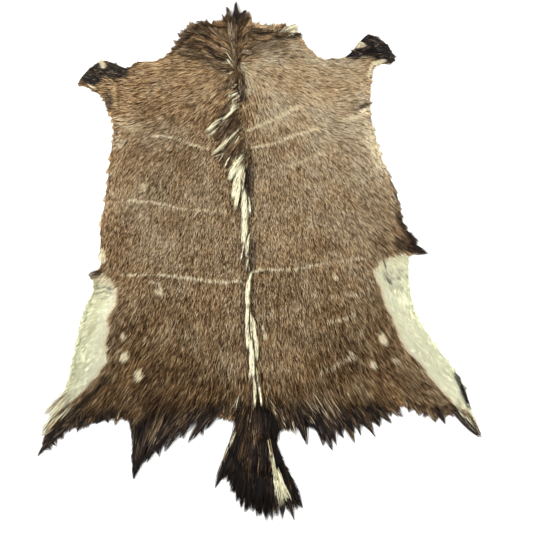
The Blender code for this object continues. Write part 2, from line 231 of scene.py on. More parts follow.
PALE_STREAKS = tuple(Streak(*row) for row in (
    (((-322, 786), (-290, 786), (-250, 776), (-205, 758), (-162, 744)), 1.6, 3.2, 0.8),
    (((-372, 592), (-345, 586), (-318, 588), (-290, 584), (-268, 578)), 1.6, 3.2, 0.86),
    (((-268, 578), (-240, 568), (-200, 564), (-150, 560), (-108, 558)), 1.2, 3, 0.55),
    (((-374, 384), (-330, 382), (-280, 384), (-220, 376), (-160, 368), (-104, 362)),
      1.6, 3.2, 0.8),
    (((-104, 362), (-66, 368)), 1.2, 3, 0.6),
    (((-52, 800), (-10, 822), (34, 842), (96, 880)), 2.2, 3.5, 0.9),
    (((-40, 748), (22, 762), (60, 778), (104, 794), (146, 808)), 2.2, 3.2, 0.8),
    (((60, 690), (112, 712), (150, 734)), 2.2, 4, 0.42),
    (((-34, 392), (-10, 398), (30, 396), (80, 400)), 1.6, 3, 0.8),
    (((80, 400), (130, 408), (190, 420), (248, 430)), 1.4, 3.2, 0.62),
    (((166, 323), (200, 328), (232, 329)), 1.2, 3, 0.42),
    (((156, 258), (190, 264), (224, 276)), 1.2, 3, 0.45),
    (((134, 132), (166, 144), (196, 162), (228, 172)), 1.2, 3.5, 0.42),
    (((-332, 634), (-333, 622)), 4, 4, 0.75), (((-338, 552), (-337, 545)), 3, 3.5, 0.6),
    (((-361, 224), (-359, 217)), 3, 3, 0.9), (((-306, 213), (-305, 209)), 1.2, 2.5, 0.8),
    (((-354, 175), (-353, 168)), 7.5, 2.5, 1), (((-317, 131), (-315, 121)), 7.5, 2.5, 1),
    (((-276, 343), (-275, 334)), 6, 6, 0.42), (((-298, 364), (-277, 359)), 2.5, 3, 0.48),
    (((179, 378), (179, 373)), 5, 3.5, 0.8), (((291, 219), (296, 208)), 7.5, 3, 1),
    (((262, 152), (266, 150)), 7, 4, 0.86), (((322, 162), (325, 156)), 6, 6, 0.22),
    (((-4, 226), (-3, 219)), 2.5, 2.5, 0.85), (((-9, 245), (-8, 241)), 1.8, 2, 0.85),
    (((68, 314), (68, 310)), 3, 3, 0.3), (((124, 329), (125, 325)), 3, 3, 0.35),
    (((209, 182), (211, 178)), 3, 3, 0.35),
    (((-490, 1046), (-483, 1032), (-476, 1016)), 4.5, 4.5, 0.95),
    (((-511, 952), (-497, 942)), 2.5, 3, 0.9),
    (((-436, 447), (-430, 434), (-427, 420)), 5, 4, 0.9),
    (((252, 1104), (270, 1098), (286, 1090)), 5, 5, 0.95), (((270, 1098), (274, 1084)), 3, 4, 0.9),
    (((305, 985), (308, 1008), (320, 1030), (345, 1034)), 4, 4, 0.95),
    (((82, 1146), (56, 1138)), 9, 6, 0.85), (((296, 872), (262, 850), (226, 838)), 2.5, 7, 0.55),
    (((306, 820), (300, 760), (318, 700)), 9, 22, 0.42),
    (((-432, 838), (-400, 830), (-372, 812)), 9, 14, 0.2),
    (((-432, 780), (-410, 760)), 10, 16, 0.18),
    # Painted highlight: pale hair where light catches the neck just right of the crest.
    (((-62, 1000), (-44, 960), (-50, 930)), 8, 18, 0.28),
))

DARK_STREAKS = tuple(Streak(*row) for row in (
    (((-500, 978), (-520, 990), (-488, 1014), (-450, 1006), (-428, 1000)), 20, 12, 0.95),
    (((-460, 920), (-448, 882)), 7, 8, 0.75),
    (((262, 1072), (300, 1096), (330, 1080), (352, 1056)), 31, 9, 0.98),
    (((352, 1060), (372, 1034)), 16, 6, 1), (((262, 1050), (300, 1054), (336, 1048)), 3, 14, 0.6),
    (((290, 892), (270, 880)), 4, 6, 0.7),
    (((302, 840), (322, 740), (348, 660), (366, 560)), 3, 8, 0.55),
    (((366, 548), (392, 486), (408, 456), (428, 444)), 12, 16, 0.85),
    (((350, 470), (400, 452), (430, 442)), 8, 12, 0.8),
    (((-266, 1086), (-238, 1130), (-206, 1160)), 8, 16, 0.55),
    (((-230, 1062), (-180, 1044), (-120, 1030), (-90, 1010)), 9, 16, 0.6),
    (((-176, 1152), (-140, 1120), (-102, 1082)), 6, 12, 0.6),
    (((-50, 1130), (-10, 1122), (30, 1118), (66, 1126), (92, 1120)), 8, 12, 0.42),
    (((-30, 1086), (60, 1084)), 6, 14, 0.3), (((-74, 990), (-70, 940), (-66, 900)), 7, 10, 0.75),
    (((-46, 740), (-44, 640), (-46, 560)), 5, 10, 0.5), (((-36, 470), (-36, 392)), 6, 7, 0.5),
    (((-40, 420), (-34, 300), (-24, 180)), 2, 6, 0.36),
    (((-66, 420), (-60, 300), (-54, 180)), 2, 6, 0.36),
    (((-372, 300), (-384, 262), (-380, 200)), 5, 14, 0.35),
    (((-398, 114), (-440, 62), (-478, 30), (-530, -24)), 4, 9, 0.85),
    (((-516, -12), (-536, -40), (-556, -66)), 10, 12, 0.9),
    (((-460, 20), (-420, 30), (-380, 36), (-330, 10)), 4, 22, 0.75),
    (((-311, -110), (-302, -60), (-290, -16), (-262, 14)), 20, 34, 0.96),
    (((-290, -40), (-220, -16), (-150, 14)), 16, 44, 0.97),
    (((-538, -56), (-500, -20), (-440, 8), (-370, 26)), 5, 14, 0.85),
    (((-150, 40), (-100, 50)), 4, 18, 0.7), (((46, 34), (90, 14)), 4, 20, 0.72),
    (((84, 16), (124, 12), (164, 12)), 16, 46, 0.94),
    (((164, 0), (240, 8), (290, 30)), 4, 30, 0.8),
    (((290, 40), (340, 50), (400, 34), (450, 40)), 2, 16, 0.62),
    (((450, 54), (482, 18), (510, -20)), 4, 6, 0.85),
    (((467, 126), (482, 94), (492, 56)), 4, 5, 0.95), (((-440, 392), (-468, 386)), 7, 7, 0.8),
    (((-22, 50), (-22, 20)), 14, 26, 0.55), (((-24, -44), (-18, -150)), 62, 26, 0.97),
    (((-96, -66), (-114, -124)), 22, 12, 0.97), (((50, -80), (80, -170)), 20, 12, 0.97),
    # Painted shade: thin dark lines in the creases at the top of each pale flank, three on the
    # left and four on the right.
    (((-445, 347), (-420, 353), (-394, 345)), 1.4, 3, 0.5),
    (((-444, 334), (-417, 340), (-387, 332)), 1.4, 3, 0.45),
    (((-436, 320), (-405, 324)), 1.2, 3, 0.3),
    (((304, 434), (310, 401), (306, 383), (320, 362)), 1.6, 2.6, 0.62),
    (((309, 385), (333, 391), (366, 396)), 2.2, 3, 0.5),
    (((308, 371), (340, 375), (367, 379)), 2.2, 3, 0.5),
    (((318, 347), (338, 352), (353, 345)), 2.1, 3, 0.35),
))

# Where the pale flanks are creamy and full, and where thin and greyish.
GLOWS = tuple(Streak(*row) for row in (
    (((-404, 330), (-396, 294), (-402, 205), (-412, 150), (-440, 100), (-482, 50)), 14, 26, 0.7),
    (((306, 321), (330, 250), (364, 196), (412, 137), (456, 84), (478, 50)), 14, 24, 0.2),
    (((-456, 346), (-430, 322), (-436, 296)), 14, 18, -0.55),
    (((-452, 340), (-466, 270), (-482, 200), (-500, 120)), 22, 30, -1.3),
    (((366, 420), (368, 340), (390, 270), (424, 196), (462, 140)), 12, 26, -0.5),
))

MANE_LOCKS = tuple(LockRow(*row) for row in (
    (-100, 1146, -122, 1228, 6, 2.5, 14, 100, RED_BROWN),
    (-110, 1146, -137, 1204, 4, 1.5, 10, 34, RED_BROWN),
    (-101, 1118, -91, 1248, 8, 1.8, 15, 150, DARK, -4),
    (-100, 1150, -91, 1246, 7, 1.8, 16, 130, BLACK, -4),
    (-94, 1124, -78, 1208, 8, 5, 14, 110, DARK), (-90, 1128, -60, 1216, 8, 3.5, 14, 90, DARK),
    (-86, 1156, -61, 1216, 6, 3.5, 14, 80, BLACK),
    (-84, 1132, -48, 1192, 7, 4, 13, 120, RED_BROWN),
    (-100, 1070, -106, 1190, 9, 7, 14, 200, GREY_BROWN),
    (-94, 1086, -90, 1176, 9, 8, 14, 170, UMBER), (-97, 1056, -104, 1150, 5, 5, 15, 80, GRIZZLED),
    (-92, 1026, -98, 1100, 6, 6, 13, 130, UMBER),
    (-94, 1030, -102, 1096, 3, 4, 14, 40, GREY_BROWN),
    (-90, 1004, -95, 1070, 6, 6, 12, 120, UMBER), (-88, 1004, -96, 1060, 3, 4, 13, 40, GREY_BROWN),
    (-97, 1076, -178, 1156, 6, 4, 13, 220, UMBER, 6),
    (-96, 1060, -166, 1128, 7, 8, 12, 130, BROWN, 5),
    (-96, 1046, -178, 1100, 8, 10, 11, 170, BROWN, 6),
    (-94, 1032, -182, 1076, 8, 8, 11, 150, RED_BROWN, 6),
    (-92, 1012, -186, 1044, 7, 6, 11, 230, UMBER, 6),
    (-92, 1000, -176, 1014, 7, 7, 11, 130, UMBER, 4), (-96, 1024, -120, 1064, 5, 7, 14, 22, LIGHT),
    (-92, 1000, -120, 1032, 5, 8, 13, 34, LIGHT), (-90, 990, -112, 982, 3, 3, 13, 32, LIGHT),
    (-150, 1112, -222, 1140, 13, 12, 9, 120, RED_BROWN),
    (-160, 1140, -218, 1166, 12, 12, 9, 100, RED_BROWN),
    (-170, 1080, -252, 1094, 13, 12, 9, 120, RED_BROWN),
    (-180, 1052, -266, 1060, 11, 10, 9, 120, UMBER),
    (-84, 1104, -52, 1150, 8, 8, 12, 110, BROWN, -4),
    (-78, 1070, -34, 1108, 9, 9, 12, 110, BROWN, -6),
    (-76, 1050, -22, 1070, 8, 8, 11, 90, GREY_BROWN, -6),
    (-52, 1116, 28, 1112, 9, 8, 10, 130, BROWN, -8),
    (-44, 1138, 24, 1132, 7, 7, 10, 110, UMBER, -4),
    (4, 1120, 84, 1124, 9, 7, 9, 170, RED_BROWN, -4), (44, 1128, 99, 1160, 6, 9, 10, 76, CREAM, 4),
    (44, 1130, 92, 1160, 9, 9, 9.5, 16, UMBER, 3), (30, 1132, 58, 1164, 4, 4, 8, 30, GRIZZLED),
    (50, 1118, 94, 1130, 5, 7, 8, 14, CREAM, 3), (74, 1124, 110, 1122, 5, 6, 8, 26, DARK),
    (-70, 1052, -50, 1068, 3.5, 6, 12, 9, CREAM), (-86, 1000, -104, 930, 8, 6, 12, 180, UMBER),
    (-80, 984, -130, 924, 6, 6, 12, 120, UMBER, -4), (-76, 984, -76, 908, 6, 6, 12, 150, UMBER),
    (-84, 962, -106, 942, 3, 3, 14, 24, LIGHT), (-78, 926, -114, 904, 3.5, 4, 14, 22, LIGHT),
    (-76, 926, -92, 866, 7, 8, 12, 90, UMBER), (-80, 948, -100, 930, 3, 3, 14, 26, LIGHT),
    (-74, 924, -108, 898, 2, 3.5, 14, 34, CREAM), (-73, 914, -98, 884, 3, 4.5, 15, 46, CREAM),
    (-76, 900, -102, 868, 4, 5, 14, 60, LIGHT), (-76, 888, -104, 858, 3, 4, 15, 46, CREAM),
    (-86, 900, -136, 836, 8, 7, 12, 160, UMBER), (-84, 862, -146, 774, 9, 9, 13, 280, UMBER, -4),
    (-90, 850, -146, 790, 7, 8, 14, 60, DARK), (-78, 874, -126, 830, 2.5, 3, 15, 56, CREAM),
    (-86, 856, -140, 806, 4, 5, 14, 50, GRIZZLED), (-118, 846, -160, 814, 3, 3.5, 14, 54, CREAM),
    (-126, 834, -170, 796, 3, 4, 15, 60, CREAM), (-116, 826, -166, 782, 4, 5, 14, 44, LIGHT),
    (-78, 832, -126, 746, 9, 8, 13, 280, UMBER), (-72, 808, -154, 722, 3.2, 2.2, 16, 90, CREAM, 3),
    (-72, 790, -122, 700, 9, 8, 13, 240, UMBER), (-68, 764, -98, 688, 8, 7, 13, 200, UMBER),
    (-70, 784, -90, 752, 1.6, 1.6, 16, 20, CREAM), (-98, 738, -146, 720, 2, 3, 13, 30, LIGHT),
    (-94, 732, -118, 682, 2.5, 2.5, 14, 40, LIGHT), (-106, 746, -134, 704, 2.5, 3, 13, 30, LIGHT),
))

BACK_LOCKS = tuple(LockRow(*row) for row in (
    (-56, 690, -50, 596, 4, 4, 12, 80, DARK), (-64, 724, -102, 664, 6, 5, 14, 190, CREAM, -3),
    (-68, 700, -104, 646, 6, 5, 14, 150, CREAM, -3),
    (-66, 690, -92, 590, 8, 5, 15, 230, CREAM, -3),
    (-66, 660, -84, 558, 6, 3.5, 15, 200, CREAM, -4), (-60, 690, -66, 610, 4, 4, 14, 90, LIGHT),
    (-48, 612, -42, 546, 1.6, 1.6, 12, 24, CREAM), (-56, 626, -62, 540, 5, 6, 13, 150, CREAM),
    (-56, 590, -60, 500, 6, 6, 13, 170, CREAM), (-56, 540, -60, 464, 6, 5, 13, 150, CREAM),
    (-42, 502, -50, 436, 1.6, 3, 14, 60, CREAM, -4), (-56, 480, -67, 420, 2, 1.6, 13, 36, CREAM),
    (-54, 480, -52, 420, 4, 4, 12, 70, LIGHT), (-50, 446, -50, 384, 4, 4.5, 11, 80, GRIZZLED),
    (-38, 396, -47, 330, 2.5, 4, 14, 110, CREAM, -5),
    (-46, 372, -48, 288, 4.5, 2.5, 13, 130, CREAM, -2), (-48, 320, -49, 228, 3, 3, 13, 110, CREAM),
    (-48, 270, -46, 190, 3.5, 3.5, 13, 100, CREAM), (-42, 290, -36, 214, 3, 4, 13, 70, LIGHT, 2),
    (-38, 280, -28, 206, 3.5, 4, 14, 110, CREAM, 3),
    (-30, 236, -23, 162, 4, 2.5, 14, 110, CREAM, 3), (-40, 226, -36, 160, 5, 4, 13, 100, CREAM),
    (-38, 204, -42, 112, 3, 2, 13, 80, CREAM, 2), (-34, 196, -32, 118, 2.5, 2.5, 13, 60, CREAM),
    (-33, 134, -27, 50, 2.5, 1.6, 13, 60, CREAM, 2),
    (-26, 150, -20, 98, 1.6, 2.5, 13, 40, LIGHT, 2),
    (-22, 118, -12, 54, 2.5, 2.5, 13, 60, CREAM, 3), (-36, 100, -34, 40, 3, 4, 11, 40, GRIZZLED),
    (-60, 76, -84, 28, 9, 14, 12, 46, GRIZZLED), (4, 76, 30, 24, 9, 14, 12, 46, GRIZZLED),
    (26, 56, 48, 0, 12, 16, 8, 60, GRIZZLED),
))

TAIL_LOCKS = tuple(LockRow(*row) for row in (
    (-50, 56, -76, -26, 10, 8, 14, 170, RED_BROWN, -3),
    (-36, 58, -46, -34, 10, 10, 16, 190, RED_BROWN),
    (-20, 58, -20, -36, 10, 10, 17, 190, RED_BROWN), (-2, 56, 4, -36, 10, 10, 16, 180, DARK),
    (10, 44, 24, -30, 7, 7, 12, 120, DARK), (-62, 10, -98, -74, 7, 7, 11, 150, DARK, -2),
    (-52, 10, -80, -92, 10, 9, 13, 180, BLACK), (-38, 6, -56, -100, 10, 9, 15, 200, DARK),
    (-24, 4, -34, -106, 10, 9, 16, 200, BLACK), (-10, 2, -10, -106, 9, 9, 16, 200, DARK),
    (4, 2, 14, -104, 8, 9, 15, 190, BLACK), (10, -8, 36, -96, 6, 7, 13, 150, BLACK),
    (13, -16, 45, -104, 3.5, 4, 10, 120, BLACK), (-84, -40, -120, -130, 6, 1.2, 9, 130, DARK),
    (-76, -34, -102, -112, 6, 4, 10, 110, DARK), (-64, -44, -88, -116, 8, 7, 11, 110, DARK),
    (-58, -46, -78, -140, 6, 3, 12, 120, BLACK), (-52, -56, -69, -160, 6, 3, 12, 120, BLACK),
    (-44, -60, -59, -174, 6, 3, 12, 120, DARK), (-36, -60, -43, -178, 6, 5, 13, 120, BLACK),
    (-28, -60, -30, -170, 6, 6, 13, 110, DARK), (-20, -66, -22, -193, 6, 2.5, 13, 120, BLACK),
    (-12, -66, -13, -191, 6, 2.5, 13, 110, DARK), (-4, -66, 1, -190, 6, 3, 13, 120, BLACK),
    (4, -66, 12, -182, 6, 5, 13, 110, DARK), (10, -70, 25, -194, 6, 4, 13, 120, BLACK),
    (28, -80, 64, -200, 6, 1.6, 11, 130, DARK), (32, -70, 72, -178, 6, 5, 11, 120, DARK),
    (30, -62, 84, -173, 4, 1.4, 10, 130, BLACK), (-22, 40, -30, -60, 4, 4, 20, 50, UMBER),
    (-40, 30, -68, -90, 3, 4, 18, 34, UMBER), (-26, 10, -52, -120, 2, 2, 19, 36, UMBER),
    (-30, 0, -38, -130, 2.6, 3, 19, 30, UMBER), (-14, 0, -22, -142, 1.8, 2, 19, 34, UMBER),
    (-2, 0, -5, -150, 1.8, 2, 19, 34, UMBER), (6, 10, 8, -140, 1.8, 2, 18, 30, UMBER),
    (24, -30, 62, -160, 2, 3, 14, 36, RED_BROWN), (2, -4, 15, -72, 2.5, 3, 18, 70, LIGHT),
    (10, -30, 19, -112, 2, 4, 18, 90, CREAM), (13, -62, 27, -160, 4, 6, 17, 150, CREAM),
    (16, -76, 36, -172, 4, 8, 16, 170, CREAM), (18, -70, 46, -150, 3, 6, 15, 90, CREAM),
    (22, -100, 54, -170, 5, 5, 14, 70, CREAM), (36, -110, 60, -164, 5, 5, 12, 30, LIGHT),
    (-66, 20, -93, -56, 2.2, 2.4, 14, 56, LIGHT), (-84, -24, -106, -84, 1.8, 2, 12, 34, LIGHT),
))

FRINGE_LOCKS = tuple(LockRow(*row) for row in (
    (-270, 40, -310, -112, 18, 1.2, 9, 190, DARK, -4),
    (-292, 0, -311, -110, 11, 1.2, 8, 110, BLACK), (-308, 20, -312, -90, 6, 2, 7, 60, DARK),
    (-240, 26, -290, -76, 14, 2, 9, 120, DARK), (-244, 10, -282, -76, 10, 1.2, 9, 60, BLACK),
    (-210, 44, -271, -49, 18, 3, 9, 130, DARK), (-196, 30, -244, -52, 12, 2, 9, 80, DARK),
    (-170, 46, -208, -18, 16, 4, 9, 90, DARK), (-146, 42, -188, -31, 10, 2, 9, 70, DARK),
    (-128, 50, -174, -20, 12, 2.5, 9, 70, DARK), (-112, 52, -147, 0, 10, 2.5, 8, 60, DARK),
    (-240, 56, -284, -40, 24, 12, 10, 26, GREY_BROWN),
    (-180, 60, -240, -20, 26, 18, 10, 30, GREY_BROWN), (-486, 20, -542, -61, 7, 1.2, 7, 110, DARK),
    (-450, 40, -512, -30, 8, 4, 7, 60, DARK), (-474, 62, -530, -8, 9, 5, 7, 70, LIGHT),
    (-474, 84, -526, 30, 8, 5, 7, 70, CREAM), (-486, 92, -538, 34, 5, 4, 6, 36, LIGHT),
    (-500, 50, -540, -6, 5, 3, 6, 36, LIGHT), (-350, 54, -364, 6, 8, 2.5, 6, 40, RED_BROWN),
    (-438, 40, -452, -8, 12, 3, 6, 50, DARK), (44, 60, 71, -15, 10, 2, 9, 50, GRIZZLED, 3),
    (62, 66, 98, -36, 14, 2, 10, 110, DARK, 4), (88, 56, 124, -4, 14, 6, 10, 90, BLACK),
    (112, 50, 157, -48, 14, 1.5, 10, 130, BLACK), (140, 48, 185, -20, 12, 2.5, 9, 90, DARK),
    (172, 50, 213, -8, 13, 2.5, 9, 90, BLACK), (206, 54, 246, 0, 13, 2.5, 9, 80, DARK),
    (236, 60, 276, 10, 12, 3, 8, 70, DARK), (262, 60, 302, 16, 12, 4, 8, 60, DARK),
    (290, 66, 330, 26, 12, 5, 8, 50, RED_BROWN), (84, 80, 128, 10, 24, 16, 11, 40, GREY_BROWN),
    (140, 74, 180, 10, 22, 16, 11, 44, GREY_BROWN), (344, 74, 372, 32, 9, 2.5, 7, 40, UMBER),
    (378, 64, 403, 19, 9, 2.5, 7, 44, UMBER), (404, 62, 429, 11, 9, 2, 7, 50, DARK),
    (444, 52, 506, -16, 6, 1.4, 7, 90, DARK, -3), (462, 76, 498, 12, 6, 3, 7, 60, CREAM),
    (470, 60, 508, 0, 4, 1.4, 7.5, 44, UMBER), (470, 120, 493, 50, 3.5, 2.5, 6, 40, BLACK),
    (460, 54, 499, 0, 4.5, 2, 7, 50, LIGHT), (374, 470, 424, 443, 9, 1.5, 6, 80, BLACK),
    (372, 500, 400, 474, 8, 3, 6, 40, DARK), (-424, 398, -462, 386, 8, 2, 6, 40, UMBER),
))


def hex_colour(code: str) -> tuple[float, float, float, float]:
    """Turn an sRGB hex colour into linear light.

    Args:
        code: the colour as #rrggbb.

    Returns:
        Red, green, blue and an alpha of 1.
    """
    parts = [int(code[place:place + 2], 16) / 255.0 for place in (1, 3, 5)]
    linear = [part / 12.92 if part <= 0.04045 else ((part + 0.055) / 1.055) ** 2.4
              for part in parts]
    return (linear[0], linear[1], linear[2], 1.0)


def add_node(tree: bpy.types.NodeTree, kind: str, links: dict | None = None,
             **settings: object) -> bpy.types.Node:
    """Add a shader node with its settings and links.

    Args:
        tree: the node tree it goes in.
        kind: the node's type name.
        links: input names or numbers to an output socket or a constant.
        settings: attributes of the node.

    Returns:
        The new node.
    """
    made = tree.nodes.new(kind)
    for name, value in settings.items():
        setattr(made, name, value)
    for name, value in (links or {}).items():
        if isinstance(value, bpy.types.NodeSocket):
            tree.links.new(value, made.inputs[name])
        else:
            made.inputs[name].default_value = value
    return made


def add_math(tree: bpy.types.NodeTree, operation: str, *values: object,
             clamp: bool = False) -> bpy.types.NodeSocket:
    """Add a sum.

    Args:
        tree: the node tree it goes in.
        operation: what is done with the values.
        values: output sockets or constants, in order.
        clamp: whether the result is kept from 0 to 1.

    Returns:
        Its result.
    """
    return add_node(tree, "ShaderNodeMath", dict(enumerate(values)), operation=operation,
                    use_clamp=clamp).outputs[0]


def add_mix(tree: bpy.types.NodeTree, share: bpy.types.NodeSocket, first: object,
            second: object, blend: str = "MIX") -> bpy.types.NodeSocket:
    """Add a mix of two colours.

    Args:
        tree: the node tree it goes in.
        share: how much of the second colour shows.
        first: the first colour, as an output socket or a constant.
        second: the second colour.
        blend: how they are put together.

    Returns:
        The mixed colour.
    """
    return add_node(tree, "ShaderNodeMix", {"Factor": share, "A": first, "B": second},
                    data_type="RGBA", blend_type=blend).outputs["Result"]


def add_noise(tree: bpy.types.NodeTree, size: float, **inputs: float) -> bpy.types.NodeSocket:
    """Add noise in Object coordinates.

    Args:
        tree: the node tree it goes in.
        size: the size of its grain in metres.
        inputs: its other inputs by name.

    Returns:
        Its value.
    """
    place = add_node(tree, "ShaderNodeTexCoord").outputs["Object"]
    links = {"Vector": place, "Scale": 1.0 / size, **inputs}
    return add_node(tree, "ShaderNodeTexNoise", links).outputs["Fac"]


def add_ramp(tree: bpy.types.NodeTree, share: bpy.types.NodeSocket,
             stops: Sequence[tuple[float, str]]) -> bpy.types.NodeSocket:
    """Add a colour ramp.

    Args:
        tree: the node tree it goes in.
        share: what finds the place on the ramp.
        stops: places from 0 to 1 with sRGB hex colours, in order.

    Returns:
        Its colour.
    """
    ramp = add_node(tree, "ShaderNodeValToRGB", {"Fac": share})
    elements = ramp.color_ramp.elements
    while len(elements) < len(stops):
        elements.new(1.0)
    for element, (place, code) in zip(elements, stops):
        element.position = place
        element.color = hex_colour(code)
    return ramp.outputs["Color"]


def add_bump(tree: bpy.types.NodeTree, height: bpy.types.NodeSocket, strength: float,
             depth: float) -> bpy.types.NodeSocket:
    """Add relief.

    Args:
        tree: the node tree it goes in.
        height: what gives the height.
        strength: how strongly it shows, from 0 to 1.
        depth: how deep it is in metres.

    Returns:
        Its normal.
    """
    links = {"Height": height, "Strength": strength, "Distance": depth}
    return add_node(tree, "ShaderNodeBump", links).outputs["Normal"]


def set_shares(data: bpy.types.Mesh, label: str, values: np.ndarray) -> None:
    """Add a number for each point of a mesh."""
    layer = data.attributes.new(label, "FLOAT", "POINT")
    layer.data.foreach_set("value", values.astype(np.float32))


def add_object(name: str, data: bpy.types.ID) -> bpy.types.Object:
    """Place a mesh, light or camera in the scene."""
    piece = bpy.data.objects.new(name, data)
    bpy.context.scene.collection.objects.link(piece)
    return piece


def to_frame(places: np.ndarray) -> np.ndarray:
    """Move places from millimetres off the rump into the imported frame, in metres."""
    return (np.asarray(places, dtype=float) - BOX_MIDDLE) * MM


def to_rump(places: np.ndarray) -> np.ndarray:
    """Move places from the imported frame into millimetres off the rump."""
    return places / MM + BOX_MIDDLE


def eased(share: np.ndarray) -> np.ndarray:
    """Shares from 0 to 1 with soft ends."""
    share = np.clip(share, 0.0, 1.0)
    return share * share * (3.0 - 2.0 * share)


def felt(places: np.ndarray, streak: Streak, uneven: np.ndarray | float = 0.0) -> np.ndarray:
    """How much a marking is felt at each place.

    Args:
        places: places in millimetres off the rump.
        streak: the marking.
        uneven: how far its edge is moved at each place, in millimetres.

    Returns:
        A share from 0 to 1 for each place.
    """
    path = np.array(streak.path, dtype=float)
    nearest = np.full(len(places), np.inf)
    for start, end in zip(path[:-1], path[1:]):
        along = end - start
        share = ((places - start) @ along) / max(float(along @ along), TINY)
        share = np.clip(share, 0.0, 1.0)[:, None]
        away = places - start - share * along
        nearest = np.minimum(nearest, np.hypot(away[:, 0], away[:, 1]))
    return eased(1.0 - (nearest + uneven - streak.half_width) / streak.softness)


def weighed(places: np.ndarray, marks: Sequence, values: Sequence,
            reach: float) -> tuple[np.ndarray, np.ndarray]:
    """Add up the values of all marks at each place, the nearer ones weighing more.

    Args:
        places: places in millimetres off the rump.
        marks: the marks, which have an x and a y.
        values: a pair of values for each mark.
        reach: how far a mark is felt before its neighbours take over, in millimetres.

    Returns:
        The weighed sum of the values and the sum of the weights for each place.
    """
    totals, weights = np.zeros((len(places), 2)), np.zeros(len(places))
    for mark, value in zip(marks, values):
        away = places - (mark.x, mark.y)
        weight = 1.0 / (away[:, 0] ** 2 + away[:, 1] ** 2 + reach ** 2) ** 2
        totals += weight[:, None] * value
        weights += weight
    return totals, weights


@dataclass(frozen=True)
class Mottle:
    """Soft random patches of a given size in millimetres over the hide."""

    patch: float
    seed: int
    reach: float = 900.0
    behind: float = 0.45

    def at(self, places: np.ndarray) -> np.ndarray:
        """Value from -1 to 1 at each place in millimetres off the rump."""
        cells = int(2.0 * self.reach / self.patch) + 4
        grid = np.random.default_rng(self.seed).uniform(-1.0, 1.0, (cells, cells))
        spot = (places + (self.reach, self.reach * self.behind)) / self.patch
        spot = np.clip(spot, 0.0, cells - 2.001)
        low = spot.astype(int)
        share = eased(spot - low)
        x, y = low[:, 0], low[:, 1]
        across_low = grid[x, y] + (grid[x + 1, y] - grid[x, y]) * share[:, 0]
        across_high = grid[x, y + 1] + (grid[x + 1, y + 1] - grid[x, y + 1]) * share[:, 0]
        return across_low + (across_high - across_low) * share[:, 1]


@dataclass(frozen=True)
class Streaks:
    """Fine light and dark streaks that run along the lay of the hair."""

    grain: float = 1.8
    steps: int = 5
    seed: int = SEED + 11
    usual: float = 0.45

    def at(self, places: np.ndarray, ways: np.ndarray) -> np.ndarray:
        """Value of the streak at each place, about one either way.

        Args:
            places: places in millimetres off the rump.
            ways: the way the hair points there.

        Returns:
            One value for each place.
        """
        speckle = Mottle(self.grain, self.seed)
        total = np.zeros(len(places))
        for step in range(self.steps):
            share = step - (self.steps - 1) / 2.0
            total += speckle.at(places + ways * share * self.grain)
        return total / math.sqrt(self.steps) / self.usual


class PackedForm:
    """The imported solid, read for the skin's outline, the coat's height and the rim's locks."""

    def __init__(self, node: bpy.types.Object) -> None:
        """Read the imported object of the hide."""
        solid = bmesh.new()
        solid.from_mesh(node.data)
        bmesh.ops.remove_doubles(solid, verts=solid.verts, dist=1e-6)
        self.lock_roots, self.lock_tips = self._read_locks(solid)
        low = [face for face in solid.faces
               if min(vert.co.z for vert in face.verts) < LOCK_TIP_TOP + HEIGHT_SLACK]
        bmesh.ops.delete(solid, geom=low, context="FACES")
        self.top = solid
        self.tree = BVHTree.FromBMesh(solid)
        self.outline = self._read_outline(solid)

    @staticmethod
    def _read_locks(solid: bmesh.types.BMesh) -> tuple[np.ndarray, np.ndarray]:
        """Find where each rim lock is rooted and where it ends.

        Args:
            solid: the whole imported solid.

        Returns:
            Roots and tips in metres, one lock to a row.
        """
        roots, tips = [], []
        for edge in solid.edges:
            if all(abs(vert.co.z - LOCK_TIP_TOP) < HEIGHT_SLACK for vert in edge.verts):
                behind = {other for vert in edge.verts for link in vert.link_edges
                          for other in link.verts if other.co.z > RIM_TOP - HEIGHT_SLACK}
                if behind:
                    places = [vert.co.xy for vert in behind]
                    roots.append(sum(places, Vector((0.0, 0.0))) / len(places))
                    tips.append((edge.verts[0].co.xy + edge.verts[1].co.xy) / 2.0)
        return np.array(roots), np.array(tips)

    @staticmethod
    def _read_outline(top: bmesh.types.BMesh) -> np.ndarray:
        """Walk round the open border of the slab's top.

        Args:
            top: the faces of the slab's top.

        Returns:
            Points of the outline in metres, closed.
        """
        border = [edge for edge in top.edges if edge.is_boundary]
        start = border[0].verts[0]
        loop, vert, edge = [start], border[0].verts[1], border[0]
        while vert is not start:
            loop.append(vert)
            edge = next(link for link in vert.link_edges if link.is_boundary and link is not edge)
            vert = edge.other_vert(vert)
        loop.append(start)
        return np.array([point.co.xy for point in loop])

    def flat_area(self) -> float:
        """Area within the outline in square metres."""
        x, y = self.outline[:, 0], self.outline[:, 1]
        return abs(float(np.sum(x[:-1] * y[1:] - x[1:] * y[:-1]))) / 2.0

    def height_at(self, places: np.ndarray) -> np.ndarray:
        """Height of the coat's top at each place, or below zero off the hide.

        Args:
            places: places in millimetres off the rump.

        Returns:
            One height in metres for each place.
        """
        down = Vector((0.0, 0.0, -1.0))
        heights = np.full(len(places), -1.0)
        for index, (x, y) in enumerate(to_frame(places)):
            hit = self.tree.ray_cast(Vector((x, y, 1.0)), down)[0]
            if hit is not None:
                heights[index] = hit.z
        return heights


@dataclass(frozen=True)
class Lay:
    """The lay of the hair: which way it points at any place."""

    reach: float = 45.0

    def at(self, places: np.ndarray) -> np.ndarray:
        """Angle in radians from straight back at each place in millimetres off the rump."""
        turns = np.radians([mark.turn for mark in LAY])
        ways = weighed(places, LAY, np.stack((np.sin(turns), -np.cos(turns)), axis=1),
                       self.reach)[0]
        return np.arctan2(ways[:, 0], -ways[:, 1])


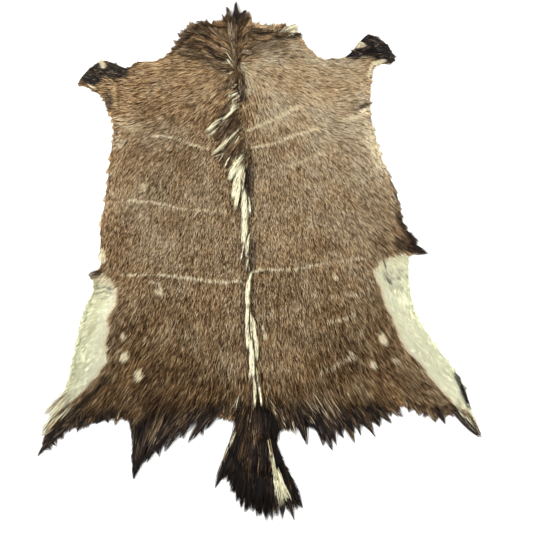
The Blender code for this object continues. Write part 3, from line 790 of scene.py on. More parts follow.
@dataclass(frozen=True)
class Markings:
    """The coat's colours by place: tone of the brown, pale share and dark share.

    The mottles make the edges of the markings uneven. Lengths are in millimetres. Front is
    where the neck's warmer hair begins and over what length, and trunk is the middle and half
    length of the part whose dark hair stays warm, and the length over which it turns cool.
    """

    mark_reach: float = 55.0
    tone_uneven: tuple = (0.06, 0.10, 0.05)
    warm: float = 1.3
    warm_by_tone: float = 1.5
    warm_front: float = 0.5
    warm_uneven: tuple = (0.45, 0.30)
    cool: tuple = (0.3, 0.6)
    light_share: float = 0.09
    light_left: float = 0.35
    pale_chance: float = 1.3
    least_pale: float = 0.7
    rosy: float = 0.8
    rosy_edge: float = 6.0
    edge_soft: float = 7.0
    edge_uneven: float = 3.5
    streak_uneven: float = 0.5
    most_uneven: float = 10.0
    thin: float = 2.0
    broken: tuple = (0.15, 1.5)
    front: tuple = (800.0, 120.0)
    trunk: tuple = (445.0, 405.0, 60.0)
    gaps: Mottle = Mottle(8.0, SEED + 4)
    ragged: Mottle = Mottle(16.0, SEED + 1)
    patch: Mottle = Mottle(20.0, SEED + 5)
    cloud: Mottle = Mottle(46.0, SEED + 2)
    drift: Mottle = Mottle(150.0, SEED + 3)

    def coat(self, places: np.ndarray) -> tuple[np.ndarray, np.ndarray]:
        """Tone of the brown and length of the hair.

        Args:
            places: places in millimetres off the rump.

        Returns:
            A tone from 0 to 1 and a length in millimetres for each place.
        """
        values = [(mark.tone, mark.length) for mark in COAT_MARKS]
        totals, weights = weighed(places, COAT_MARKS, values, self.mark_reach)
        tone, length = (totals / weights[:, None]).T
        mottles = zip(self.tone_uneven, (self.patch, self.cloud, self.drift))
        return tone + sum(share * mottle.at(places) for share, mottle in mottles), length

    def warmth(self, places: np.ndarray, tone: np.ndarray) -> np.ndarray:
        """How red the brown is, from 0 for taupe to 1 for russet.

        Args:
            places: places in millimetres off the rump.
            tone: the tone of the brown there.

        Returns:
            One share for each place.
        """
        start, length = self.front
        front = eased((places[:, 1] - start) / length)
        patchy = (self.warm_uneven[0] * self.cloud.at(places + 70.0)
                  + self.warm_uneven[1] * self.drift.at(places + 300.0))
        return np.clip(self.warm - self.warm_by_tone * tone + self.warm_front * front + patchy,
                       0.0, 1.0)

    @staticmethod
    def glow(places: np.ndarray) -> np.ndarray:
        """How much brighter or duller the pale hair is at each place."""
        gain = np.zeros(len(places))
        for glow in GLOWS:
            gain += glow.strength * felt(places, glow)
        return gain

    def flanks(self, places: np.ndarray, inset: float = 0.0) -> np.ndarray:
        """Share of pale flank from 0 to 1.

        Args:
            places: places in millimetres off the rump.
            inset: how far inside the flanks' boundaries to look, in millimetres.

        Returns:
            One share for each place.
        """
        most = np.zeros(len(places))
        for line, side in ((LEFT_FLANK, -1.0), (RIGHT_FLANK, 1.0)):
            x, y, share = np.array(line[::-1], dtype=float).T
            pale = np.interp(places[:, 1], y, share, left=0.0, right=0.0)
            beyond = ((places[:, 0] - np.interp(places[:, 1], y, x)) * side
                      + self.edge_uneven * self.ragged.at(places) - inset)
            most = np.maximum(most, eased(beyond / self.edge_soft + 0.5) * pale)
        return most

    def streaks(self, places: np.ndarray, streaks: Sequence[Streak]) -> np.ndarray:
        """Strongest of several streaks at each place."""
        share = np.zeros(len(places))
        uneven = self.ragged.at(places)
        for streak in streaks:
            edge = uneven * min(streak.softness, self.most_uneven) * self.streak_uneven
            broken = 1.0 + self.gaps.at(places) * (streak.half_width < self.thin)
            share = np.maximum(share, felt(places, streak, edge) * streak.strength
                               * np.clip(broken, *self.broken))
        return share

    def dark(self, places: np.ndarray) -> np.ndarray:
        """Share of dark hair and of painted crease shade, from 0 to 1, which gives way to the pale
        spots and streaks.
        """
        return (self.streaks(places, DARK_STREAKS)
                * (1.0 - self.streaks(places, PALE_STREAKS)))

    def hair_by_hair(self, places: np.ndarray, rng: np.random.Generator) -> tuple:
        """Colour each hair, so that markings are made of whole pale and dark hairs.

        Args:
            places: places in millimetres off the rump.
            rng: the source of chance.

        Returns:
            Tone, warmth, pale share and dark share for each place.
        """
        share = np.maximum(self.flanks(places), self.streaks(places, PALE_STREAKS))
        dark = self.dark(places)
        chance = rng.uniform(0.0, 1.0, (3, len(places)))
        dark = dark * np.where(chance[0] < self.light_share, self.light_left, 1.0)
        level = self.least_pale + (1.0 - self.least_pale) * chance[2]
        pale = (chance[1] < self.pale_chance * share) * np.maximum(share, level)
        tone = self.coat(places)[0]
        middle, reach, soft = self.trunk
        outer = eased((np.abs(places[:, 1] - middle) - reach) / soft)
        cool = self.cool[0] + self.cool[1] * outer
        warm = self.warmth(places, tone) * (1.0 - cool * dark)
        rosy = self.rosy - self.rosy * self.flanks(places, self.rosy_edge)
        return tone, np.where(pale > 0.0, rosy, warm), pale, dark


@dataclass
class Hairs:
    """Many hairs: where each is rooted, bent and tipped in metres, and how it is coloured."""

    roots: np.ndarray
    bends: np.ndarray
    tips: np.ndarray
    widths: np.ndarray
    shade: np.ndarray
    tone: np.ndarray
    warm: np.ndarray
    pale: np.ndarray
    dark: np.ndarray
    fade: np.ndarray

    def part(self, chosen: np.ndarray) -> "Hairs":
        """The hairs that a mask chooses."""
        return Hairs(**{name: values[chosen] for name, values in vars(self).items()})

    @staticmethod
    def together(groups: Sequence["Hairs"]) -> "Hairs":
        """Several groups as one."""
        return Hairs(**{name: np.concatenate([vars(group)[name] for group in groups])
                        for name in vars(groups[0])})


@dataclass(frozen=True)
class HairMesher:
    """Turns hairs into one mesh of closed three-sided tapered spikes.

    A hair has rings of three points before its tip. Its thickness is a share of its width,
    and its width at the root and the part lost on the way to the tip are shares of the full
    width. On its bake map each hair has a cell of its own, taller than wide.
    """

    rings: int
    thickness: float = 0.5
    root_width: float = 1.0
    widening: float = 2.2
    taper: float = 0.6
    taper_power: float = 1.4
    fade_reach: float = 1.6
    cell_tall: float = 2.4
    cell_across: tuple = (0.08, 0.92, 0.5)
    cell_start: float = 0.08
    cell_length: float = 0.86
    ridge_back: float = 0.06

    @property
    def along(self) -> np.ndarray:
        """How far along its hair each point is."""
        return np.append(np.repeat(np.arange(self.rings) / self.rings, 3), 1.0)

    def mesh(self, name: str, hairs: Hairs) -> bpy.types.Object:
        """Make the mesh object.

        Args:
            name: the piece's name.
            hairs: the hairs to make.

        Returns:
            The new object, with its bake map and colour attributes.
        """
        count, per_hair = len(hairs.roots), self.rings * 3 + 1
        pattern = self._faces()
        offsets = (np.arange(count) * per_hair)[:, None, None]
        corners = (pattern[None, :, :] + offsets).reshape(-1).astype(np.int32)
        faces = count * len(pattern)
        data = bpy.data.meshes.new(name)
        data.vertices.add(count * per_hair)
        data.vertices.foreach_set("co", self._verts(hairs).astype(np.float32).ravel())
        data.loops.add(faces * 3)
        data.loops.foreach_set("vertex_index", corners)
        data.polygons.add(faces)
        data.polygons.foreach_set("loop_start", np.arange(0, faces * 3, 3, dtype=np.int32))
        data.update(calc_edges=True)
        set_shares(data, "along", np.tile(self.along, count))
        faded = np.clip(1.0 - self.fade_reach * self.along, 0.0, 1.0)
        for label in HAIR_LABELS:
            values = np.repeat(getattr(hairs, label), per_hair)
            if label == "dark":
                values *= (1.0 - hairs.fade[:, None] * faded[None, :]).ravel()
            set_shares(data, label, values)
        self._bake_map(data, corners, count)
        return add_object(name, data)

    def _verts(self, hairs: Hairs) -> np.ndarray:
        """Points of every hair, ring by ring and then the tip."""
        up = np.array((0.0, 0.0, 1.0))
        rows = []
        for ring in range(self.rings):
            t = ring / self.rings
            middle = ((1 - t) ** 2 * hairs.roots + 2 * t * (1 - t) * hairs.bends
                      + t ** 2 * hairs.tips)
            way = 2 * (1 - t) * (hairs.bends - hairs.roots) + 2 * t * (hairs.tips - hairs.bends)
            way /= np.linalg.norm(way, axis=1, keepdims=True) + TINY
            side = np.cross(way, up)
            side /= np.linalg.norm(side, axis=1, keepdims=True) + TINY
            over = np.cross(side, way)
            drawn_in = self.root_width + (1.0 - self.root_width) * min(1.0, self.widening * t)
            half = (hairs.widths * drawn_in * (1.0 - self.taper * t ** self.taper_power)
                    / 2.0)[:, None]
            rows += [middle - side * half, middle + side * half,
                     middle + over * half * 2.0 * self.thickness]
        rows.append(hairs.tips)
        return np.stack(rows, axis=1)

    def _faces(self) -> np.ndarray:
        """Triangles of one hair: its closed root, its sides and its tip."""
        faces, pairs = [(0, 1, 2)], ((0, 1), (1, 2), (2, 0))
        last = self.rings * 3 - 3
        for low in range(0, last, 3):
            high = low + 3
            for a, b in pairs:
                faces += [(low + a, high + a, high + b), (low + a, high + b, low + b)]
        faces += [(last + a, last + 3, last + b) for a, b in pairs]
        return np.array(faces)

    def _bake_map(self, data: bpy.types.Mesh, corners: np.ndarray, count: int) -> None:
        """Lay each hair in a cell of its own on the map that the colours are baked to.

        Args:
            data: the mesh.
            corners: the point at each face corner.
            count: how many hairs there are.
        """
        columns = int(math.ceil(math.sqrt(count * self.cell_tall)))
        rows = int(math.ceil(count / columns))
        along = self.along
        along[2] -= self.ridge_back
        across = np.append(np.tile(self.cell_across, self.rings), 0.5)
        hair = np.arange(count)[:, None]
        u = hair % columns + across
        v = hair // columns + self.cell_start + self.cell_length * along
        places = np.stack((u / columns, v / rows), axis=2).reshape(-1, 2)
        layer = data.uv_layers.new(name="OFBake")
        layer.data.foreach_set("uv", places[corners].astype(np.float32).ravel())


@dataclass(frozen=True)
class Finish:
    """What every finish has: the name of the real surface, its roughness and its gloss."""

    name: str
    roughness: float
    gloss: float = 0.5

    def material(self) -> bpy.types.Material:
        """Make the material."""
        made = bpy.data.materials.new(self.name)
        made.use_nodes = True
        shader = made.node_tree.nodes["Principled BSDF"]
        shader.inputs["Roughness"].default_value = self.roughness
        shader.inputs["Specular IOR Level"].default_value = self.gloss
        self.paint(made.node_tree, shader)
        return made

    def paint(self, tree: bpy.types.NodeTree, shader: bpy.types.Node) -> None:
        """Add the nodes that give the shader its colour and relief."""
        raise NotImplementedError


class HairRamp(NamedTuple):
    """One kind of hair: how its shade finds its colour, its colours, and its warm tint."""

    gain: float
    level: float
    stops: tuple
    tint: str


@dataclass(frozen=True)
class HairFinish(Finish):
    """Antelope guard hair, grown and brushed: coarse, slightly waxy, so a soft broad gloss.

    The roots are painted darker than the tips, partly the hair's own banding and partly painted
    shade where the roots lie under other hair, and no two hairs are the same shade, which gives
    the coat its grain. Pale hair is a little yellow, and dark hair is painted red for light that
    comes through it.
    """

    name: str = "guard_hair_brushed"
    brown: HairRamp = HairRamp(0.5, 0.21, (
        (0.20, "#1f150d"), (0.34, "#503a26"), (0.46, "#816748"), (0.58, "#b0946e"),
        (0.70, "#d9c19a"), (0.88, "#f2e4c6")), "#fff2e0")
    pale: HairRamp = HairRamp(0.6, 0.72, (
        (0.0, "#6f6d58"), (0.42, "#cbcba6"), (0.75, "#f5f5d2"), (1.0, "#fffee4")), "#fff0e8")
    # The dark hair's warm tint is a painted red glow, for light that comes through dark hair.
    dark: HairRamp = HairRamp(0.7, 0.24, (
        (0.0, "#060608"), (0.5, "#1b1a1e"), (1.0, "#66605c")), "#f4caac")
    shade_reach: float = 0.26
    tip_reach: float = 0.36
    roughness: float = 0.5
    gloss: float = 0.14

    def paint(self, tree: bpy.types.NodeTree, shader: bpy.types.Node) -> None:
        """Read the hairs' own colour attributes."""
        read = {label: add_node(tree, "ShaderNodeAttribute", attribute_name=label).outputs["Fac"]
                for label in ("along", *HAIR_LABELS)}
        shade = add_math(tree, "MULTIPLY", read["shade"], self.shade_reach)
        # Painted shade along each hair: darker at the root, where other hair shades it, lighter at
        # the tip; partly the hair's own banding.
        tip = add_math(tree, "MULTIPLY_ADD", read["along"], self.tip_reach,
                       -0.5 * self.tip_reach)
        vary = add_math(tree, "ADD", shade, tip)
        toned = add_math(tree, "ADD", vary, read["tone"])
        colours = []
        for source, ramp in ((toned, self.brown), (vary, self.pale), (vary, self.dark)):
            place = add_math(tree, "MULTIPLY_ADD", source, ramp.gain, ramp.level, clamp=True)
            colours.append(add_mix(tree, read["warm"], add_ramp(tree, place, ramp.stops),
                                   hex_colour(ramp.tint), "MULTIPLY"))
        lit = add_mix(tree, read["pale"], colours[0], colours[1])
        tree.links.new(add_mix(tree, read["dark"], lit, colours[2]), shader.inputs["Base Color"])


@dataclass(frozen=True)
class SuedeFinish(Finish):
    """Tanned skin, buffed on its flesh side: off-white suede with a fine nap and faint veins."""

    name: str = "suede_tanned_buffed"
    stops: tuple = ((0.12, "#c2b08f"), (0.42, "#e6dcc6"))
    nap: float = 1.6 * MM
    vein: float = 34.0 * MM
    relief: float = 0.4 * MM
    roughness: float = 0.92
    gloss: float = 0.2

    def paint(self, tree: bpy.types.NodeTree, shader: bpy.types.Node) -> None:
        """Add the nap and the veins."""
        nap = add_noise(tree, self.nap, Detail=3.0)
        vein = add_noise(tree, self.vein, Detail=5.0, Distortion=1.2)
        colour = add_ramp(tree, add_math(tree, "MULTIPLY", nap, vein), self.stops)
        tree.links.new(colour, shader.inputs["Base Color"])
        tree.links.new(add_bump(tree, nap, 0.5, self.relief), shader.inputs["Normal"])


@dataclass(frozen=True)
class HairRootFinish(Finish):
    """The skin's hair side between the hairs: dark brown with down, partly its own colour and
    partly painted shade for the gaps between the hairs.

    Under the pale hair it is pale and under the dark hair nearly black, as the skin of a
    live animal is, so that the coat keeps its colour where the hair is thin.
    """

    name: str = "skin_hair_side_downy"
    # Painted shade: the dark brown of the down stands partly for the shade in the gaps between the
    # hairs.
    stops: tuple = ((0.3, "#2b1f15"), (0.7, "#654d35"))
    under: tuple = (("pale", "#d6d2aa"), ("dark", "#0d0b0c"))
    down: float = 2.2 * MM
    relief: float = 0.6 * MM
    roughness: float = 0.9

    def paint(self, tree: bpy.types.NodeTree, shader: bpy.types.Node) -> None:
        """Add the down, and the skin's colour under pale and dark hair."""
        down = add_noise(tree, self.down, Detail=4.0)
        colour = add_ramp(tree, down, self.stops)
        for label, code in self.under:
            share = add_node(tree, "ShaderNodeAttribute", attribute_name=label).outputs["Fac"]
            colour = add_mix(tree, share, colour, hex_colour(code))
        tree.links.new(colour, shader.inputs["Base Color"])
        tree.links.new(add_bump(tree, down, 0.6, self.relief), shader.inputs["Normal"])


@dataclass(frozen=True)
class FloorFinish(Finish):
    """Painted studio floor, rolled: near white and matt, with the faint stipple of a roller."""

    name: str = "studio_floor_painted"
    stops: tuple = ((0.2, "#f2f2f0"), (0.8, "#fbfbfa"))
    stipple: float = 5.0 * MM
    roughness: float = 0.85

    def paint(self, tree: bpy.types.NodeTree, shader: bpy.types.Node) -> None:
        """Add the stipple."""
        colour = add_ramp(tree, add_noise(tree, self.stipple), self.stops)
        tree.links.new(colour, shader.inputs["Base Color"])


@dataclass
class Skin:
    """The dressed skin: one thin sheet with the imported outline, lying in faint waves."""

    thickness: float = 1.5 * MM
    off_floor: float = 0.1 * MM
    wave: float = 0.9 * MM
    wave_size: float = 90.0
    steep: float = 0.3

    def height(self, places: np.ndarray) -> np.ndarray:
        """Height in metres of the skin's hair side at places in millimetres off the rump."""
        waves = Mottle(self.wave_size, SEED + 7).at(places)
        return self.thickness + self.off_floor + self.wave * np.clip(waves, 0.0, 1.0)

    def build(self, form: PackedForm, markings: Markings) -> bpy.types.Object:
        """Make the sheet.

        Args:
            form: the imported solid's shape.
            markings: where its hair is pale and where it is dark.

        Returns:
            The skin, with suede below and downy hair side above.
        """
        sheet = form.top.copy()
        places = to_rump(np.array([vert.co.xy for vert in sheet.verts]))
        for vert, height in zip(sheet.verts, self.height(places)):
            vert.co.z = height
        bmesh.ops.recalc_face_normals(sheet, faces=sheet.faces)
        if sum(face.normal.z for face in sheet.faces) < 0.0:
            bmesh.ops.reverse_faces(sheet, faces=sheet.faces)
        bmesh.ops.solidify(sheet, geom=sheet.faces[:], thickness=self.thickness)
        bmesh.ops.recalc_face_normals(sheet, faces=sheet.faces)
        for face in sheet.faces:
            face.smooth = True
            face.material_index = 1 if face.normal.z < self.steep else 0
        data = bpy.data.meshes.new("dressed_skin")
        sheet.to_mesh(data)
        sheet.free()
        places = to_rump(np.array([vert.co.xy for vert in data.vertices]))
        set_shares(data, "pale", markings.flanks(places))
        set_shares(data, "dark", markings.dark(places))
        data.materials.append(HairRootFinish().material())
        data.materials.append(SuedeFinish().material())
        return add_object("dressed_skin", data)


@dataclass
class Coat:
    """The short coat: hairs over the whole skin, in layers that each cover it.

    Distances are in millimetres, heights in metres and angles in radians. A pale hair's lift
    and its shade are a level and the share of what else changes them. Front is where the neck's
    coarser hair begins and over what length.
    """

    rng: np.random.Generator
    pitch: float = 2.32
    layers: int = 4
    clump_pitch: float = 9.0
    clump_pull: float = 0.14
    clump_turns: float = 0.10
    clump_shades: float = 0.30
    lifts: tuple = (0.72, 1.0)
    strays: float = 0.09
    lengths: tuple = (0.75, 1.25)
    width: float = 1.65
    widths: tuple = (0.7, 1.25)
    thickness: float = 0.32
    seen_share: float = 0.72
    shorter: tuple = (0.75, 0.55, 0.4)
    rim_height: float = 3.2 * MM
    least_height: float = 1.0 * MM
    sunk: float = 0.3 * MM
    variety: float = 1.2
    front: tuple = (820.0, 120.0)
    coarser_front: float = 0.35
    coarser_tan: float = 0.4
    tan: float = 0.8
    streak_lift: float = 0.14
    streak_shade: float = 0.5
    clump_share: float = 0.4
    pale_lift: tuple = (0.7, 0.2)
    pale_shade: float = 0.75
    pale_variety: float = 0.26
    pale_streak: float = 0.35
    grain: Streaks = Streaks()
    flow: Streaks = Streaks(grain=2.2, steps=13, seed=SEED + 12)

    def roots(self, form: PackedForm) -> tuple[np.ndarray, np.ndarray]:
        """Scatter the roots evenly over the skin.

        Args:
            form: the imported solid's shape.

        Returns:
            Roots in millimetres off the rump, and the coat's height there in metres.
        """
        low, high = to_rump(form.outline.min(axis=0)), to_rump(form.outline.max(axis=0))
        xs, ys = (np.arange(low[axis], high[axis], self.pitch) for axis in (0, 1))
        grid = np.stack(np.meshgrid(xs, ys, indexing="ij"), axis=2).reshape(-1, 2)
        grid += self.rng.uniform(-0.5, 0.5, grid.shape) * self.pitch
        heights = form.height_at(grid)
        inside = heights > 0.0
        return grid[inside], heights[inside]

    def hairs(self, form: PackedForm, skin: Skin, lay: Lay, markings: Markings) -> Hairs:
        """Grow every hair of the coat.

        Args:
            form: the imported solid's shape.
            skin: the sheet that the hairs are rooted in.
            lay: which way the hairs point.
            markings: how they are coloured.

        Returns:
            All the hairs.
        """
        rng = self.rng
        places, heights = self.roots(form)
        count = len(places)
        corner = np.floor(places / self.clump_pitch)
        cell = corner.astype(int) - corner.astype(int).min(axis=0)
        size, cell = cell.max(axis=0) + 1, (cell[:, 0], cell[:, 1])
        clump_spot = rng.uniform(0.2, 0.8, (size[0], size[1], 2))[cell]
        clump_turn = rng.normal(0.0, self.clump_turns, size)[cell]
        clump_shade = rng.normal(0.0, self.clump_shades, size)[cell]
        clump_lift = rng.uniform(*self.lifts, size)[cell]
        middle = corner * self.clump_pitch + clump_spot * self.clump_pitch
        turn = lay.at(places) + clump_turn + rng.normal(0.0, self.strays, count)
        way = np.stack((np.sin(turn), -np.cos(turn)), axis=1)
        length = markings.coat(places)[1] * rng.uniform(*self.lengths, count)
        seen = places + way * (length * self.seen_share)[:, None]
        tone, warm, pale, dark = markings.hair_by_hair(seen, rng)
        streak = self.grain.at(seen, way)
        tips = places + way * length[:, None] + (middle - places) * self.clump_pull
        tip_heights = form.height_at(tips)
        for share in self.shorter:
            past = np.flatnonzero(tip_heights < 0.0)
            tips[past] = places[past] + way[past] * (length[past] * share)[:, None]
            tip_heights[past] = form.height_at(tips[past])
        over = np.where(tip_heights > 0.0, tip_heights, np.minimum(heights, self.rim_height))
        lift = clump_lift * rng.uniform(*self.lifts, count) * (1.0 + self.streak_lift * streak)
        lift = np.where(pale > 0.0, self.pale_lift[0] + self.pale_lift[1] * lift, lift)
        roots = np.column_stack((to_frame(places), skin.height(places) - self.sunk))
        tips = np.column_stack((to_frame(tips), np.maximum(over * lift, self.least_height)))
        widths = self.width * MM * rng.uniform(*self.widths, count)
        start, reach = self.front
        coarse = (1.0 + self.coarser_front * eased((places[:, 1] - start) / reach)
                  + self.coarser_tan * (tone > self.tan))
        chance = rng.normal(0.0, self.variety, count)
        shade = (chance + self.streak_shade * streak + self.clump_share * clump_shade) * coarse
        pale_shade = (self.pale_variety * chance + self.pale_streak * self.flow.at(seen, way)
                      + markings.glow(seen) + self.pale_shade)
        shade = np.where(pale > 0.0, pale_shade, shade)
        return Hairs(roots, (roots + tips) / 2.0, tips, widths, shade, tone, warm, pale, dark,
                     np.zeros(count))

    def build(self, hairs: Hairs) -> list[bpy.types.Object]:
        """Make the layers.

        Args:
            hairs: all the hairs of the coat.

        Returns:
            One piece for each layer.
        """
        layer_of = self.rng.permutation(len(hairs.roots)) % self.layers
        mesher = HairMesher(rings=1, thickness=self.thickness)
        return [mesher.mesh(f"coat_layer_{layer + 1}", hairs.part(layer_of == layer))
                for layer in range(self.layers)]


@dataclass
class LongHair:
    """Long curved hairs. Widths are in millimetres and heights in metres."""

    form: PackedForm
    skin: Skin
    rng: np.random.Generator
    width: float = 1.6
    widths: tuple = (0.7, 1.3)
    variety: float = 1.3
    mixed: float = 0.25
    fade: float = 0.0
    gloom: float = 0.0
    warmer: float = 0.0
    sway: float = 0.04
    under_share: float = 0.8
    least_height: float = 1.0 * MM
    tip_over: float = 1.2 * MM
    tip_height: float = 1.6 * MM
    bends: tuple = (2.0 * MM, 30.0 * MM)
    tips_over: tuple = (-0.4, 1.4)
    arches: tuple = (0.75, 1.1)
    cream_warm: float = 0.2
    least_cream: float = 0.65

    def between(self, starts: np.ndarray, ends: np.ndarray, arch: float, pigment: Pigment,
                aside: np.ndarray | float = 0.0, proud: float = 2.0 * MM) -> Hairs:
        """Grow hairs between given places.

        Args:
            starts: roots in millimetres off the rump.
            ends: tips in millimetres off the rump.
            arch: height of the hairs' middle above the ground in metres.
            pigment: their colour.
            aside: how far their middle is moved sideways, in millimetres.
            proud: least height of their middle above the coat in metres.

        Returns:
            The hairs.
        """
        rng, count, mix = self.rng, len(starts), pigment.value
        cream = rng.uniform(0.0, 1.0, count) < mix.cream
        root_z = np.maximum(self.skin.height(starts),
                            self.under_share * self.form.height_at(starts))
        under = self.form.height_at(ends)
        tip_z = np.where(under > 0.0, under + self.tip_over, self.tip_height)
        tip_z = tip_z + rng.uniform(*self.tips_over, count) * MM
        middle = (starts + ends) / 2.0 + aside
        sway = rng.normal(0.0, self.sway, (count, 2)) * np.abs(ends - starts).sum(axis=1)[:, None]
        crest = np.maximum(self.form.height_at(middle), self.least_height) + proud
        top = np.maximum(arch * rng.uniform(*self.arches, count), crest)
        bend_z = np.clip(2.0 * top - (root_z + tip_z) / 2.0, *self.bends)
        return Hairs(
            roots=np.column_stack((to_frame(starts), root_z)),
            bends=np.column_stack((to_frame(middle + sway), bend_z)),
            tips=np.column_stack((to_frame(ends), np.maximum(tip_z, self.least_height))),
            widths=self.width * MM * rng.uniform(*self.widths, count),
            shade=rng.normal(0.0, self.variety, count) - self.gloom * ~cream,
            tone=np.full(count, mix.tone),
            warm=(np.full(count, min(1.0, mix.warm + self.warmer)) * ~cream
                  + self.cream_warm * cream),
            pale=cream * rng.uniform(self.least_cream, 1.0, count),
            dark=~cream * np.clip(mix.dark + rng.normal(0.0, self.mixed, count), 0.0, 1.0),
            fade=np.full(count, self.fade),
        )


@dataclass
class Locks(LongHair):
    """Long hairs in locks, each from a row of a table."""

    name: str = "locks"
    rows: tuple = ()
    thinned: float = 0.8
    stagger: float = 0.5
    stretch: tuple = (0.4, 0.75)
    bunched: float = 0.55
    drawn_in: float = 0.8
    strays: float = 0.3
    begins: tuple = (-0.5, 1.3)
    root_width: float = 0.3

    def build(self) -> bpy.types.Object:
        """Grow the locks as one piece."""
        hairs = Hairs.together([self.lock(row) for row in self.rows])
        return HairMesher(rings=3, root_width=self.root_width).mesh(self.name, hairs)

    def lock(self, row: LockRow) -> Hairs:
        """Grow one lock from its row."""
        rng, count = self.rng, int(row.count * self.thinned)
        across = rng.normal(0.0, self.bunched, count)
        begin = rng.uniform(0.0, self.stagger, count)
        end = np.minimum(begin + rng.uniform(*self.stretch, count), 1.0)
        begin -= rng.uniform(*self.begins, count) * row.spread / row.reach
        ends = row.at(end, across * self.drawn_in + rng.normal(0.0, self.strays, count))
        return self.between(row.at(begin, across), ends, row.arch * MM, row.pigment)


@dataclass
class Mane(Locks):
    """The mane: a dark tuft past the neck edge, and locks that sweep off the back line."""

    name: str = "mane"
    rows: tuple = MANE_LOCKS
    thinned: float = 0.85
    fade: float = 0.6


@dataclass
class BackLine(Locks):
    """The pale line down the back: cream locks that lie on each other like thatch."""

    name: str = "back_line"
    rows: tuple = BACK_LOCKS
    width: float = 1.8


@dataclass
class TailBrush(Locks):
    """The tail: a dark brush that fans from its root, with a white streak on its right."""

    name: str = "tail_brush"
    rows: tuple = TAIL_LOCKS
    mixed: float = 0.2
    gloom: float = 0.5
    warmer: float = 0.9
    stagger: float = 0.3
    stretch: tuple = (0.55, 0.95)
    fade: float = 0.1


@dataclass
class Fringe(Locks):
    """Long dark locks past the haunches, and the tufts that stand out round the edge."""

    name: str = "fringe"
    rows: tuple = FRINGE_LOCKS
    fade: float = 0.5


@dataclass
class RimHair(LongHair):
    """Hair round the edge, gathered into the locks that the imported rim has."""

    width: float = 1.7
    variety: float = 1.0
    fade: float = 0.2
    hairs_per_mm: float = 1.3
    least_hairs: int = 8
    gather: float = 5.0
    edge_gather: float = 0.3
    tip_gather: float = 0.12
    back: tuple = (10.0, 0.6)
    shorter: float = 0.75
    arch: float = 3.0 * MM
    proud: float = 0.4 * MM
    seen_share: float = 0.6
    duller: float = 0.2

    def build(self, lay: Lay, markings: Markings) -> bpy.types.Object:
        """Make the rim's locks as one piece.

        Args:
            lay: which way the hair of the coat points, which the locks grow out of.
            markings: how the hairs are coloured.

        Returns:
            The piece.
        """
        rng, groups = self.rng, []
        roots, tips = to_rump(self.form.lock_roots), to_rump(self.form.lock_tips)
        for root, tip, turn in zip(roots, tips, lay.at(roots)):
            reach = float(np.linalg.norm(tip - root))
            count = self.least_hairs + int(reach * self.hairs_per_mm)
            way = (tip - root) / reach
            flow = np.array((math.sin(turn), -math.cos(turn)))
            side = np.array((-way[1], way[0]))
            across = rng.normal(0.0, self.gather, count)
            back = rng.uniform(0.0, self.back[0] + reach * self.back[1], count)
            starts = root + side * across[:, None] - flow * back[:, None]
            across *= np.where(self.form.height_at(starts) < 0.0, -1.0, 1.0)
            starts = root + side * across[:, None] - flow * back[:, None]
            off = self.form.height_at(starts) < 0.0
            straight = root + side * across[:, None] * self.edge_gather - way * back[:, None]
            starts[off] = straight[off]
            short = rng.uniform(0.0, self.shorter, count)
            ends = tip + side * (across * (self.tip_gather + short))[:, None]
            ends -= way * (short * reach)[:, None]
            apart = np.linalg.norm(ends - starts, axis=1)[:, None]
            aside = starts + flow * apart * 0.5 - (starts + ends) / 2.0
            hairs = self.between(starts, ends, self.arch, BROWN, aside, self.proud)
            seen = starts + (ends - starts) * self.seen_share
            hairs.tone, hairs.warm, hairs.pale, hairs.dark = markings.hair_by_hair(seen, rng)
            hairs.shade += (hairs.pale > 0.0) * (markings.glow(seen) - self.duller)
            groups.append(hairs)
        return HairMesher(rings=2).mesh("rim_hair", Hairs.together(groups))


class Lamp(NamedTuple):
    """A soft square light: its name, place in metres, power in watts and side in metres."""

    name: str
    place: tuple
    power: float
    size: float


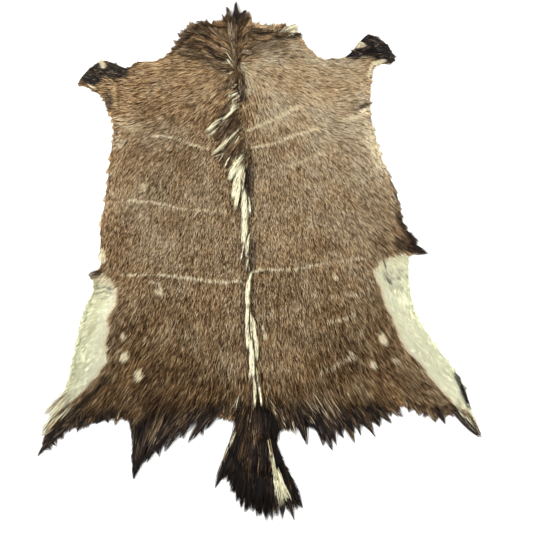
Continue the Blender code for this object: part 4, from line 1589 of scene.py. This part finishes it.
@dataclass
class Studio:
    """Pale floor, soft light and the camera, above the tail end and looking down.

    The camera's elevation is in degrees, its distance and the floor's size are in metres, and
    it aims at a place in millimetres off the rump.
    """

    focal_px: float = 577.0
    frame_px: float = 533.0
    sensor_mm: float = 36.0
    elevation: float = 73.0
    distance: float = 1.5
    aim: tuple = (0.0, 410.0)
    floor_size: float = 14.0
    floor_gap: float = 0.4 * MM
    lamps: tuple = (Lamp("key_light", (-1.7, 0.4, 2.2), 70.0, 1.2),
                    Lamp("fill_light", (1.8, -0.8, 2.2), 37.0, 2.0))
    sky: float = 0.88

    def floor(self) -> None:
        """Make the floor."""
        plane = bmesh.new()
        bmesh.ops.create_grid(plane, x_segments=2, y_segments=2, size=self.floor_size / 2.0)
        bmesh.ops.translate(plane, verts=plane.verts, vec=(0.0, 0.0, -self.floor_gap))
        data = bpy.data.meshes.new("studio_floor")
        plane.to_mesh(data)
        plane.free()
        data.materials.append(FloorFinish().material())
        add_object("studio_floor", data)

    def camera(self) -> None:
        """Place the camera at the angle of the view that the hide is shown from."""
        lens = bpy.data.cameras.new("view_camera")
        lens.sensor_width = self.sensor_mm
        lens.lens = lens.sensor_width * self.focal_px / self.frame_px
        piece = add_object("view_camera", lens)
        tilt = math.radians(self.elevation)
        away = Vector((0.0, -math.cos(tilt), math.sin(tilt)))
        piece.location = Vector((*to_frame(self.aim), 0.0)) + away * self.distance
        piece.rotation_euler = (math.pi / 2.0 - tilt, 0.0, 0.0)
        bpy.context.scene.camera = piece

    def light(self, lamp: Lamp) -> None:
        """Add a lamp aimed at the hide."""
        light = bpy.data.lights.new(lamp.name, "AREA")
        light.energy = lamp.power
        light.size = lamp.size
        piece = add_object(lamp.name, light)
        piece.location = lamp.place
        piece.rotation_euler = (-Vector(lamp.place)).to_track_quat("-Z", "Y").to_euler()

    def build(self) -> None:
        """Set up floor, lights, surroundings and camera."""
        self.floor()
        for lamp in self.lamps:
            self.light(lamp)
        world = bpy.data.worlds.new("soft_surroundings")
        world.use_nodes = True
        sky = world.node_tree.nodes["Background"]
        sky.inputs["Color"].default_value = (1.0, 1.0, 1.0, 1.0)
        sky.inputs["Strength"].default_value = self.sky
        bpy.context.scene.world = world
        bpy.context.scene.view_settings.view_transform = "Standard"
        self.camera()


def main() -> None:
    """Build the hide's pieces in order and report each."""
    logging.basicConfig(level=logging.INFO, format="%(message)s")
    log = logging.getLogger("hide")
    rng = np.random.default_rng(SEED)
    Studio().build()
    form = PackedForm(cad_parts[NODE])
    lay, markings, skin = Lay(), Markings(), Skin()
    log.info("rim: %d points, %d locks", len(form.outline), len(form.lock_tips))
    sheet = skin.build(form, markings)
    coat = Coat(rng)
    pieces = coat.build(coat.hairs(form, skin, lay, markings))
    pieces += [kind(form, skin, rng).build() for kind in (Mane, BackLine, TailBrush, Fringe)]
    pieces.append(RimHair(form, skin, rng).build(lay, markings))
    hair = HairFinish().material()
    for piece in pieces:
        piece.data.materials.append(hair)
        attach(piece, BODY)
        log.info("%s: %d triangles", piece.name, len(piece.data.polygons))
    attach(sheet, BODY)
    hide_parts(NODE)
    log.info("dressed_skin: %d faces, %.3f square metres", len(sheet.data.polygons),
             form.flat_area())


if __name__ == "__main__":
    main()
